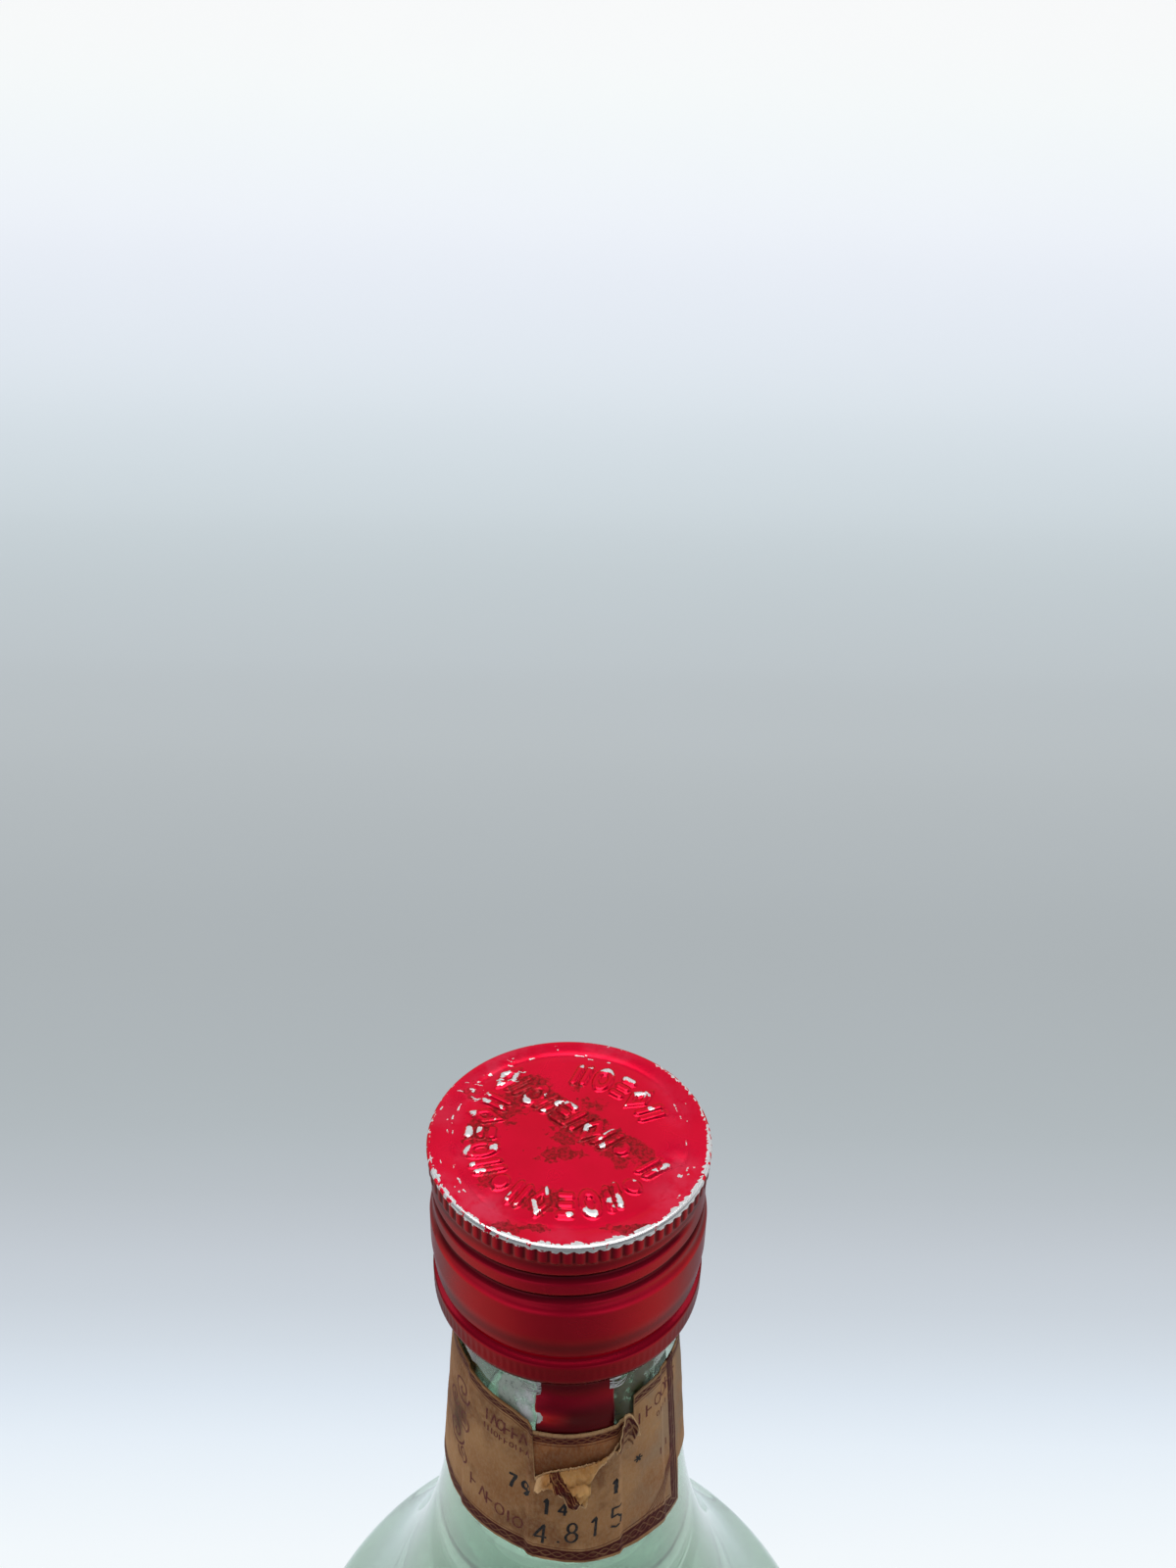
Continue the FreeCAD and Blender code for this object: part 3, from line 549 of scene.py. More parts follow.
def panel_ornament():
    """(x, y, turn, kind) of the raised marks on the panel: a broken ring of bars, rings and
    lozenges, and a slanting row across it."""
    marks, ring = [], 9.9
    kinds = ("bars", "lozenge", "dashes", "ring", "slashes", "stud")
    spread = list(range(-122, 46, 15)) + list(range(112, 184, 15))
    for index, angle in enumerate(spread):
        turn = math.radians(angle)
        marks.append((ring * math.sin(turn), -ring * math.cos(turn), angle,
                      kinds[index % len(kinds)]))
    start, end = Vector((-7.2, 9.2)), Vector((9.0, -4.6))
    along = (end - start).normalized()
    heading = math.degrees(math.atan2(along.y, along.x))
    kinds = ("lozenge", "slashes", "ring", "slashes", "dashes", "slashes", "lozenge", "slashes",
             "stud", None, "slashes")
    for index, kind in enumerate(kinds):
        if kind:
            spot = start + (end - start) * index / (len(kinds) - 1)
            marks.append((spot.x, spot.y, heading, kind))
    return marks


ORNAMENT = panel_ornament()


def stud_height(kind, x, y):
    """Height share of one ornament at x across and y along it, mm."""
    x, y = x / 1.1, y / 1.35
    if kind == "bars":
        away = math.hypot(abs(x) - 0.5, max(abs(y) - 0.95, 0.0))
    elif kind == "slashes":
        away = math.hypot(abs(x - y * 0.3) - 0.5, max(abs(y) - 0.95, 0.0))
    elif kind == "ring":
        away = abs(math.hypot(x * 1.2, y * 0.85) - 0.9)
    elif kind == "dashes":
        away = math.hypot(max(abs(x) - 0.5, 0.0), min(abs(y), abs(abs(y) - 0.95)))
    elif kind == "lozenge":
        away = abs(abs(x) * 1.2 + abs(y) * 0.8 - 0.9) * 0.8
    else:
        away = math.hypot(x, y) - 0.45
    return ease(0.46, 0.22, max(away, 0.0))


def panel_scratches():
    """(x, y, heading, half length) of the fine scratches at the panel's left, and of the specks
    along the worn step round it."""
    found = []
    for _ in range(20):
        bearing = math.radians(random.uniform(-152, -112))
        reach = random.uniform(11.2, 14.6)
        found.append((reach * math.sin(bearing), -reach * math.cos(bearing),
                      random.uniform(-20, 60), random.uniform(0.15, 0.5)))
    for low, high, count in ((-112, -52, 18), (48, 122, 13), (150, 200, 8)):
        for index in range(count):
            heading = random.uniform(low, high)
            bearing = math.radians(heading)
            reach = random.uniform(12.8, 13.7) if index % 4 else random.uniform(13.8, 15.0)
            found.append((reach * math.sin(bearing), -reach * math.cos(bearing), heading,
                          random.uniform(0.08, 0.4)))
    return found


SCRATCHES = panel_scratches()


def scratch_at(x, y):
    """1 on a fine scratch of the panel, 0 away from it."""
    most = 0.0
    for sx, sy, heading, long in SCRATCHES:
        dx, dy = x - sx, y - sy
        if abs(dx) > 1.1 or abs(dy) > 1.1:
            continue
        turn = math.radians(heading)
        along = dx * math.cos(turn) + dy * math.sin(turn)
        across = -dx * math.sin(turn) + dy * math.cos(turn)
        most = max(most, ease(0.17, 0.05, abs(across)) * ease(long + 0.12, long - 0.05, abs(along)))
    return most


def panel_relief(x, y):
    """Raised share of the ornament at a place on the panel."""
    raised = 0.0
    for px, py, heading, kind in ORNAMENT:
        dx, dy = x - px, y - py
        if abs(dx) > 2.3 or abs(dy) > 2.3:
            continue
        turn = math.radians(heading)
        across = dx * math.cos(turn) + dy * math.sin(turn)
        along = -dx * math.sin(turn) + dy * math.cos(turn)
        raised = max(raised, stud_height(kind, across, along))
    return raised


# dents in the panel: (x, y, half width, depth)
DENTS = [(-8.3, -9.8, 1.9, 0.2), (12.0, -4.2, 2.0, 0.22), (-12.0, -3.0, 1.4, 0.12),
         (9.5, -7.5, 1.6, 0.12), (11.5, 3.0, 1.2, 0.08), (-10.6, 5.6, 1.1, 0.1)]


def dent_at(x, y):
    """How deep the panel is dented there."""
    depth = 0.05 * grain(x * 0.22, y * 0.22, 5.0)
    for dx, dy, wide, deep in DENTS:
        depth += deep * math.exp(-((x - dx) ** 2 + (y - dy) ** 2) / wide ** 2)
    return depth


# side of the cap from its rim to the break-off ring's foot: (depth, radius)
SKIRT = [(0.4, CAP), (0.5, GRIP), (2.5, GRIP), (9.1, GRIP), (9.9, BAND), (13.8, BAND),
         (16.7, GRIP + 0.05), (16.9, GRIP), (17.2, GRIP - 0.45), (17.8, GRIP - 0.45),
         (18.1, CAP - 0.1), (18.3, CAP), (20.8, CAP), (CAP_FOOT, CAP - 0.3)]
SLIT_STEP = (360 - 2 * SLIT_START - SLIT_LENGTH) / (SLIT_COUNT - 1)
SLITS = [(SLIT_START + i * SLIT_STEP, SLIT_START + i * SLIT_STEP + SLIT_LENGTH)
         for i in range(SLIT_COUNT)]


def thread_sink(angle, depth):
    """How deep the rolled helical channel is there, 0 to 1."""
    sink = 0.0
    for turn in (-1, 0, 1):
        way = angle + 360.0 * turn
        if THREAD_START < way < THREAD_END:
            ends = (ease(THREAD_START, THREAD_START + 18, way)
                    * ease(THREAD_END, THREAD_END - 18, way))
            middle = THREAD_DEPTH - THREAD_PITCH * way / 360.0
            sink = max(sink, ends * hump(middle, 0.82, depth))
    return sink


def skirt_radius(angle, depth):
    """Outside of the cap's side wall."""
    radius = sum(follow(SKIRT, depth + shift) for shift in (-0.14, -0.05, 0.05, 0.14)) / 4
    radius -= THREAD_SINK * thread_sink(angle, depth)
    if 0.49 < depth < 2.9:
        rib = swell(angle, RIBS)
        radius = GRIP + 0.02 + 0.22 * (1 - (1 - rib) ** 3) * ease(2.75, 2.35, depth)
    if 18.2 < depth < 21.1:
        flute = swell(angle, FLUTES)
        strong = 0.035 + 0.045 * ease(20, -60, angle)
        radius -= strong * flute * hump(19.6, 1.5, depth)
    if 17.3 < depth < 17.75:
        for start, end in SLITS:
            if start < angle % 360.0 < end:
                inward = min(ease(start, start + 1.5, angle % 360),
                             ease(end, end - 1.5, angle % 360))
                radius -= 1.0 * inward * hump(17.53, 0.2, depth)
    turn = math.radians(angle)
    radius -= 0.10 * max(grain(math.sin(turn) * 2.0, math.cos(turn) * 2.0, depth * 0.12), 0.0)
    return radius


def cap_rows():
    """(kind, place) rows from the middle of the panel, over the rim and down the side."""
    rows = [("top", 0.16 + i * 0.19) for i in range(68)]
    rows += [("rim", s) for s in (12.95, 13.15, 13.3, 13.45, 13.6, 13.9, 14.2, 14.45, 14.65, 14.85,
                                  15.05, 15.25, PANEL_EDGE)]
    rows += [("edge", s) for s in (0.25, 0.5, 0.75, 1.0)]
    depth = 0.5
    while depth < CAP_FOOT:
        rows.append(("side", depth))
        if depth < 2.8:
            depth += 0.22
        elif depth < 10.2:
            depth += 0.21
        elif depth < 16.5:
            depth += 0.45
        elif depth < 18.4:
            depth += 0.09
        else:
            depth += 0.3
    rows.append(("side", CAP_FOOT))
    rows += [("in", d) for d in (CAP_FOOT - 0.05, 20.8, 18.0, 14.0, 8.0, 2.0, UNDER_PANEL)]
    rows += [("under", radius) for radius in (12.0, 6.0)]
    return rows


# places on the panel where grime has settled: (x, y, half width along x, along y, strength)
GRIME = [(-7.2, 4.0, 2.6, 3.4, 0.6), (-3.4, 6.0, 3.0, 2.2, 0.55), (0.6, 0.6, 3.6, 2.2, 0.62),
         (-1.2, -2.6, 3.4, 1.3, 0.66), (4.6, -0.6, 2.6, 2.2, 0.6), (3.0, 5.0, 2.4, 1.6, 0.5),
         (7.6, -3.4, 2.4, 1.8, 0.56), (-10.0, 0.4, 2.0, 3.4, 0.58), (-8.6, -5.6, 1.8, 2.4, 0.55),
         (-3.0, -9.6, 3.8, 1.9, 0.62), (4.6, -8.4, 2.2, 1.6, 0.56), (-5.8, -13.0, 4.6, 1.0, 0.6),
         (6.4, -13.1, 3.0, 0.9, 0.6), (-11.0, 7.0, 1.6, 1.8, 0.5), (0.2, 8.2, 2.2, 1.4, 0.46)]


def grime_at(x, y):
    """Share of grime at a place on the panel: ragged patches."""
    near = abs((x + 7.2) * 0.648 + (y - 9.2) * 0.761)
    most = 0.16 + 0.42 * ease(3.6, 1.2, near) * ease(12.5, 9.5, math.hypot(x, y))
    most += 0.28 * hump(9.2, 2.6, math.hypot(x, y)) * ease(6.0, -3.0, x)
    most += 0.22 * grain(x * 0.45, y * 0.45, 21.0)
    for dx, dy, wide, tall, strong in GRIME:
        away = math.hypot((x - dx) / wide, (y - dy) / tall)
        uneven_edge = 0.5 * grain(x * 0.6, y * 0.6, 11.0) + 0.5 * grain(x * 1.9, y * 1.9, 12.0)
        most = max(most, strong * ease(1.3, 0.5, away + uneven_edge))
    return most


def rim_bite(turn, side):
    """Radius at which the rim begins to be rubbed bare: ragged, widest at the front."""
    x, y = math.sin(turn), math.cos(turn)
    ragged = 0.35 * grain(x * 9, y * 9, 1.0) + 0.4 * grain(x * 40, y * 40, 2.0)
    return PANEL_EDGE - 0.35 * side + ragged


def rim_depth(radius):
    """Depth of the panel, its faint step and the low slope up to the rim."""
    return 0.27 + 0.05 * hump(13.2, 0.7, radius) - 0.24 * ease(12.6, PANEL_EDGE, radius)


def panel_place(angle, radius, marked):
    """Point, bareness, dirt, painted sheen and painted shade on the panel, or on its rim, which has no
    marks.
    """
    turn = math.radians(angle)
    x, y = radius * math.sin(turn), -radius * math.cos(turn)
    raised = panel_relief(x, y) if marked else 0.0
    depth = rim_depth(radius) + dent_at(x, y) * ease(15.5, 14.2, radius) - 0.26 * raised
    patch = grain(x * 0.7 + 3, y * 0.7, 2.0)
    worn_end = max(ease(0.12, 0.4, patch), ease(10.7, 11.2, radius) * ease(-0.35, 0.0, patch))
    bare = 0.31 + 0.32 * ease(0.55, 0.95, raised) * worn_end
    bare += 0.28 * scratch_at(x, y)
    side = swell(angle, middle=25)
    start = rim_bite(turn, side)
    bare += ease(start, start + 0.12, radius) * (0.1 + 0.46 * side)
    dirt = grime_at(x, y) - 0.12 * ease(0.5, 0.9, raised)
    # painted sheen: pinkish round the panel's outer ring and over its dents
    chalk = 0.55 * ease(11.6, 13.6, radius) * ease(-0.3, 0.35, grain(x * 0.16, y * 0.16, 9.0))
    for dx, dy, wide, deep in DENTS:
        chalk += 3.2 * deep * math.exp(-((x - dx) ** 2 + (y - dy) ** 2) / wide ** 2)
    # painted shade round the feet of the raised marks
    shade = 0.7 * hump(0.3, 0.3, raised)
    return around(angle, max(depth, 0.0), radius), bare, dirt, min(max(chalk, 0.0), 1.0), shade


def edge_place(angle, share):
    """The same on the rounded outer edge, rubbed bare most at the front."""
    turn, bend = math.radians(angle), share * math.pi / 2
    point = around(angle, 0.04 + 0.4 * (1 - math.cos(bend)), PANEL_EDGE + 0.35 * math.sin(bend))
    bare = 0.34 + 0.34 * swell(angle, middle=25)
    bare += 0.3 * grain(math.sin(turn) * 22, math.cos(turn) * 22, 4.0)
    return point, bare, 0.0, 0.0, 0.0


def side_place(angle, depth):
    """The same on the side wall, with painted shade all over it, deepest in its grooves, between its
    ribs, under its band and towards its foot and its flanks, and a painted highlight along the band's
    top edge.
    """
    rib, sunk = swell(angle, RIBS), thread_sink(angle, depth)       # both from 0 to 1
    bare = 0.3 + 0.34 * swell(angle, middle=35) * ease(0.95, 0.6, depth - 0.12 * rib)
    bare += 0.34 * rib ** 6 * hump(2.4, 0.16, depth) * ease(-25, 5, angle)
    dirt = max(0.36 * ease(-40, -66, angle) * hump(9.5, 4.5, depth), 0.3 * sunk)
    # painted shade, and a painted highlight along the band's top edge
    shade = 0.5 + 0.5 * sunk + 0.3 * hump(15.4, 1.6, depth)
    shade += 0.2 * ease(18.0, 19.0, depth) + 0.28 * ease(35, 75, abs(angle))
    shade -= 0.3 * hump(9.8, 0.5, depth)
    shade += 0.5 * (1 - rib) ** 2 * ease(2.6, 2.3, depth) + 0.3 * hump(3.1, 1.0, depth)
    return around(angle, depth, skirt_radius(angle, depth)), bare, dirt, 0.0, shade


def make_cap():
    """The cap as one thin sheet: panel, rim, side with its break-off ring, and inside."""
    columns = RIBS * 6
    points, looks = [], []
    rows = cap_rows()
    for kind, place in rows:
        for index in range(columns):
            angle = 360.0 * index / columns
            if angle > 180:
                angle -= 360
            look = (0.0, 0.0, 0.0, 0.0)
            if kind in ("top", "rim"):
                point, *look = panel_place(angle, place, kind == "top")
            elif kind == "edge":
                point, *look = edge_place(angle, place)
            elif kind == "side":
                point, *look = side_place(angle, place)
            elif kind == "in":
                wall = min(skirt_radius(angle, place), CAP - 0.4)
                point = around(angle, place, wall - SHEET)
            else:
                point = around(angle, UNDER_PANEL, place)
            points.append(point)
            looks.append(look)
    faces = grid(len(rows), columns, True) + fans(len(rows), columns, len(points))
    points += [around(0, 0.3 + dent_at(0, 0), 0), around(0, UNDER_PANEL, 0)]
    looks += [(0.3, 0.2, 0.0, 0.0)] * 2
    rubbed, dirt, chalk, shade = zip(*looks)
    return piece("lacquered_cap", points, faces, LACQUER, "screw_cap",
                 marks={"rubbed": rubbed, "dirt": dirt, "chalk": chalk, "shade": shade})


def tongue_lift(angle, depth):
    """Underside of the tongue over the glass, with its fold and small dents."""
    fold = 0.16 + 0.34 * ease(16.0, -12.0, angle)
    lift = TONGUE_GAP + fold * hump(28.6 + 0.03 * (angle - 5), 2.6, depth)
    lift += ease(24.5, CAP_FOOT, depth) * (15.05 - SHEET - neck(CAP_FOOT)) * 0.96
    lift += 0.10 * max(grain(angle * 0.09, depth * 0.5, 7.0), 0.0) * ease(23, 25, depth)
    return lift


def tongue_edge(side, depth):
    """Angle of the tongue's edge, ragged where it was torn and lifted."""
    edge = TONGUE_LEFT if side < 0 else TONGUE_RIGHT
    jag = 1.1 * abs(grain(depth * 3.1, side * 5.0, 1.0)) * hump(25.0, 2.2, depth)
    narrow = 0.9 * hump(29.4, 1.9, depth) if side < 0 else 0.3 * hump(27.5, 1.5, depth)
    return edge - side * (0.6 * jag + narrow)


def make_tongue():
    """The strip that hangs from the break-off ring down over the glass, under the paper."""
    rows, columns = 90, 44
    outer, inner, wear_outer, dark_outer = [], [], [], []
    for row in range(rows):
        depth = TONGUE_TOP + (TONGUE_FOOT - TONGUE_TOP) * row / (rows - 1)
        left, right = tongue_edge(-1, depth), tongue_edge(1, depth)
        for column in range(columns):
            share = column / (columns - 1)
            angle = left + (right - left) * share
            radius = neck(depth) + tongue_lift(angle, depth)
            near = min(angle - left, right - angle)
            wear = 0.3 + 0.5 * ease(1.6, 0.1, near) * hump(25.0, 1.7, depth)
            wear += 0.7 * ease(3.2, 1.6, angle - left) * hump(29.5, 1.9, depth)
            outer.append(around(angle, depth, radius + SHEET))
            inner.append(around(angle, depth, radius))
            wear_outer.append(wear)
            # painted shade over the tongue, a little lighter about 26.5 mm down, with a painted
            # highlight on its fold towards the left
            lit = ease(5.0, -11.0, angle) * hump(29.4, 2.2, depth)
            dark_outer.append(0.95 - 0.95 * lit - 0.25 * hump(26.5, 2.0, depth))
    clean = [0.0] * (len(outer) * 2)
    return piece("cap_tongue", outer + inner, sheet_faces(rows, columns), LACQUER,
                 None,
                 marks={"rubbed": wear_outer * 2, "dirt": clean, "chalk": clean,
                        "shade": dark_outer * 2})


def make_burrs():
    """Slivers of bare aluminium torn up along both edges of the tongue."""
    points, faces = [], []
    for side, count in ((-1, 7), (1, 6)):
        for index in range(count):
            depth = 24.2 + 1.9 * index / count + random.uniform(-0.1, 0.1)
            edge = tongue_edge(side, depth)
            long = random.uniform(3.0, 8.5)
            wide = random.uniform(0.14, 0.3)
            tilt = random.uniform(-0.35, 0.5)
            first = len(points)
            stations = 6
            for station in range(stations):
                share = station / (stations - 1)
                angle = edge - side * 2.2 + side * (long + 2.2) * share
                half = wide * (1 - share) ** 0.8 / 2 + 0.012
                lift = neck(depth) + tongue_lift(edge, depth) + 0.34 - 0.3 * share ** 2
                lift += 0.25 * math.sin(share * 3.0)
                for across, thick in ((-half, 0.0), (half, 0.0), (half, -0.05), (-half, -0.05)):
                    points.append(around(angle, depth + tilt * share + across, lift + thick))
            for station in range(stations - 1):
                a = first + station * 4
                for corner in range(4):
                    b = (corner + 1) % 4
                    faces.append((a + corner, a + b, a + 4 + b, a + 4 + corner))
            faces.append((first, first + 1, first + 2, first + 3))
            end = first + (stations - 1) * 4
            faces.append((end + 3, end + 2, end + 1, end))
    count = len(points)
    return piece("torn_metal_slivers", points, faces, LACQUER, None,
                 marks={"rubbed": [0.9] * count, "dirt": [0.0] * count, "chalk": [0.0] * count,
                        "shade": [0.0] * count})


# ---------------------------------------------------------------- the two tax bands

def step_over(angle, left, right):
    """1 between two angles, easing to 0 over three degrees outside them."""
    return min(ease(left - 3.0, left, angle), ease(right + 3.0, right, angle))


def inner_lift(angle):
    return GLUE + (TONGUE_GAP + SHEET) * step_over(angle, TONGUE_LEFT - 1, TONGUE_RIGHT + 1)


def outer_lift(angle):
    return inner_lift(angle) + (PAPER + GLUE) * step_over(angle, -53.0, 51.0)


# printed edge lines of the outer band and its torn outline: (angle from the front, depth)
TOP_LINE = [(-186, 28.2), (-62, 28.25), (-51, 28.6), (-43, 29.0), (-35, 29.3), (-25.5, 29.7),
            (-16, 31.0), (-8, 31.5), (20, 31.0), (33, 28.9), (39.8, 28.4), (54, 28.3), (78, 28.25)]
TORN_LINE = [(-15.4, 31.1), (-15.0, 31.6), (-14.4, 34.3), (-13.0, 38.9), (-8.6, 37.7),
             (-5.1, 37.3), (0.0, 36.9), (9.5, 36.4), (15.7, 36.3), (20.3, 35.8), (23.2, 34.8),
             (24.4, 34.4), (27.0, 34.2), (30.0, 34.3), (32.6, 34.4), (33.4, 33.4),
             (33.8, 30.6), (34.2, 28.8)]
FOOT_LINE = [(-186, 52.3), (-72, 52.4), (-62, 52.7), (-50, 52.5), (-40, 52.4), (-29, 52.4),
             (-16.5, 52.6), (-5, 52.9), (6.5, 53.35), (18, 53.7), (29, 53.95), (42, 54.35),
             (56, 55.2), (64, 55.6), (78, 55.7)]


def outer_top(angle):
    """Depth of the outer band's upper edge, torn down at the front."""
    line = follow(TOP_LINE, angle)
    if -15.4 < angle < 34.2:
        ragged = 0.22 * grain(angle * 0.9, 2.0) + 0.14 * grain(angle * 3.7, 6.0)
        line = follow(TORN_LINE, angle) + ragged
    return line + 0.06 * grain(angle * 0.35, 9.0)


def outer_skin(angle, depth):
    """Radius of the outer band's face: it lies on the neck, wrinkles, and curls at the tear."""
    lift = outer_lift(angle) + PAPER
    lift += 0.07 * grain(angle * 0.07, depth * 0.22, 3.0) + 0.03 * grain(angle * 0.3, depth * 0.5, 4.0)
    # fine upright creases over the tongue's edges
    lift += 0.07 * hump(-13.0, 1.2, angle) * ease(30.5, 33.0, depth)
    # the paper under the curled corner has come unstuck
    loose = hump(28.0, 8.0, angle) * ease(36.4, 33.6, depth)
    lift += 0.25 * loose
    # the sides bulge off the neck
    lift += 0.22 * hump(75, 45, angle) + 0.12 * hump(-80, 40, angle)
    # the torn edge stands off a little
    lift += 0.22 * step_over(angle, -10, 22) * ease(1.6, 0.0, depth - outer_top(angle))
    return neck(depth) + lift


def sheet_piece(name, angles, rows, top, foot, skin, material, node, marks_at):
    """Paper of even thickness between two lines, with unrolled millimetres as UVs."""
    columns = len(angles)
    face, back, flat = [], [], []
    marks = {"soiled": [], "from_top": [], "from_foot": [], "torn": []}
    for row in range(rows):
        share = row / (rows - 1)
        for angle in angles:
            start, end = top(angle), foot(angle)
            depth = start + (end - start) * share
            radius = skin(angle, depth)
            face.append(around(angle, depth, radius))
            back.append(around(angle, depth, radius - PAPER))
            flat.append((angle * PER_DEGREE, depth))
            for values, value in zip(marks.values(), marks_at(angle, depth, depth - start)):
                values.append(value)
    return piece(name, face + back, sheet_faces(rows, columns), material, node, flat * 2,
                 {n: v * 2 for n, v in marks.items()})


def make_outer_band():
    angles = [-186 + 2.0 * i for i in range(58)]
    angle = -70.0
    while angle < 72.5:
        angles.append(angle)
        angle += 0.25 if -16 < angle < 35 else 0.5
    angles += [73.0, 74.5, 76.0, 78.0]

    def foot(angle):
        if angle > 65.0:
            return 48.0 + (follow(FOOT_LINE, angle) - 48.0) * ease(65.8, 65.0, angle)
        return follow(FOOT_LINE, angle) + 0.05 * grain(angle * 0.3, 1.0)

    def marks_at(angle, depth, inside):
        torn_here = step_over(angle, -12.5, 32.5) * ease(0.75, 0.15, inside)
        soiled = 0.75 * hump(-62, 10, angle) * hump(40, 6, depth)
        soiled += 0.3 * ease(60, 76, angle) + 0.25 * hump(28, 6, angle) * ease(33, 30, depth)
        edge = depth - follow(TOP_LINE, angle)
        low = (follow(FOOT_LINE, angle) - depth) / (1 + 0.7 * hump(42, 34, angle))
        if 57 < angle < 66:
            low = min(low, (65.8 - angle) * PER_DEGREE)
        return soiled, max(edge, 0.0), max(low, 0.0), torn_here

    return sheet_piece("outer_tax_band", angles, 60, outer_top, foot, outer_skin, OUTER_PAPER,
                       "tax_band_outer", marks_at)


def inner_skin(angle, depth):
    lift = inner_lift(angle) + PAPER + 0.04 * grain(angle * 0.08, depth * 0.3, 8.0)
    return neck(depth) + min(lift, outer_lift(angle) + 0.02 + 0.1 * ease(37.5, 36, depth))


def make_inner_band():
    angles = [-52 + 0.75 * i for i in range(137)]

    def top(angle):
        return 31.9 + 0.05 * grain(angle * 0.2, 4.0)

    def marks_at(angle, depth, inside):
        return (0.25 * hump(5, 20, angle) * hump(36, 3, depth), inside * 0.9, BORDERLESS,
                ease(0.3, 0.05, inside) * 0.8)

    return sheet_piece("inner_tax_band", angles, 26, top, lambda a: 48.0, inner_skin, INNER_PAPER,
                       "tax_band_inner", marks_at)


# lower outline of the scrap that is folded down over the tear: (angle, depth)
SCRAP_FOOT = [(-11.9, 38.6), (-8, 39.0), (-4, 39.2), (-1, 40.2), (1.5, 41.2), (3, 42.2),
              (5, 42.4), (8, 42.0), (9.6, 41.4), (10.2, 40.0), (11.0, 38.4), (14, 37.4), (19, 36.7)]


def make_scrap():
    """Torn scrap folded down and out over the band, its reverse side showing."""
    angles = [-11.9 + 0.25 * i for i in range(123)]

    def top(angle):
        return outer_top(angle) - 0.12

    def foot(angle):
        return follow(SCRAP_FOOT, angle) + 0.2 * grain(angle * 1.3, 12.0)

    def skin(angle, depth):
        down = (depth - top(angle)) / max(foot(angle) - top(angle), 0.3)
        crease = abs(grain(angle * 0.16, depth * 0.55, 2.0))
        crease += 0.5 * abs(grain(angle * 0.4, depth * 1.3, 5.0))
        lift = 0.24 + 0.6 * math.sin(min(down, 1.0) * 2.3) + 1.3 * crease * ease(0.0, 0.3, down)
        under = outer_skin(angle, max(depth, outer_top(angle) + 1.2))
        return under + PAPER + lift * ease(17, 9, angle)

    def marks_at(angle, depth, inside):
        stripe = 0.36 + abs((angle + 4.5) * PER_DEGREE - (depth - 37.0) * 0.55) * 2.0
        torn_here = max(ease(0.6, 0.05, foot(angle) - depth), ease(-8.0, -11.0, angle))
        return 0.0, BORDERLESS, stripe if stripe < 1.8 else BORDERLESS, torn_here

    return sheet_piece("folded_scrap", angles, 44, top, foot, skin, FOLDED_PAPER,
                       None, marks_at)


# outline of the curled corner: (angle, depth)
CORNER_TOP = [(22.6, 34.9), (23.8, 33.4), (25.0, 31.4), (26.4, 29.8), (28.5, 29.6), (30.6, 30.2),
              (32.2, 31.4), (33.6, 33.4)]
CORNER_FOOT = [(22.6, 35.4), (26, 36.3), (30, 36.6), (32.4, 36.0), (33.6, 34.6)]


def make_corner():
    """Corner of the band right of the tear, curled out from the neck and back."""
    angles = [22.6 + 0.25 * i for i in range(45)]

    def top(angle):
        return follow(CORNER_TOP, angle) + 0.2 * grain(angle * 1.1, 15.0)

    def foot(angle):
        return follow(CORNER_FOOT, angle)

    def skin(angle, depth):
        up = (foot(angle) - depth) / max(foot(angle) - top(angle), 0.3)
        lift = 0.12 + 0.8 * math.sin(math.pi * min(0.62 * up, 1.0))
        lift += 0.3 * ease(29.5, 33.0, angle) * up
        lift += 0.3 * grain(angle * 0.5, depth * 0.9, 14.0)
        return neck(depth) + outer_lift(angle) + PAPER * 2 + lift

    def marks_at(angle, depth, inside):
        edge = min(inside, (angle - 22.6) * PER_DEGREE, (33.6 - angle) * PER_DEGREE + 0.05)
        return 0.2 * grain(angle, depth), 0.3 + inside * 0.3, BORDERLESS, ease(0.5, 0.1, edge)

    return sheet_piece("curled_corner", angles, 24, top, foot, skin, OUTER_PAPER,
                       None, marks_at)


# ---------------------------------------------------------------- print on the outer band

def ribbon(store, path, wide):
    """Stroke of ink along a path of (mm around from the front, depth)."""
    points, faces, fine = store[0], store[1], []
    for (x0, y0), (x1, y1) in zip(path, path[1:]):
        steps = max(int(math.hypot(x1 - x0, y1 - y0) / 0.2), 1)
        fine += [(x0 + (x1 - x0) * i / steps, y0 + (y1 - y0) * i / steps) for i in range(steps)]
    fine.append(path[-1])
    first = len(points)
    for index, (x, y) in enumerate(fine):
        ahead, behind = fine[min(index + 1, len(fine) - 1)], fine[max(index - 1, 0)]
        dx, dy = ahead[0] - behind[0], ahead[1] - behind[1]
        long = math.hypot(dx, dy) or 1.0
        half = wide / 2 * (1 + 0.25 * grain(x * 2, y * 2, 3))
        for side in (-1, 1):
            px, py = x - side * half * dy / long, y + side * half * dx / long
            angle = px / PER_DEGREE
            points.append(around(angle, py, outer_skin(angle, py) + INK_RISE))
    for index in range(len(fine) - 1):
        a = first + index * 2
        faces.append((a, a + 1, a + 3, a + 2))


def loop_path(x, y, wide, high, count=14):
    return [(x + wide * math.cos(turn), y + high * math.sin(turn))
            for turn in arc_steps(0.0, 2 * math.pi, count)]


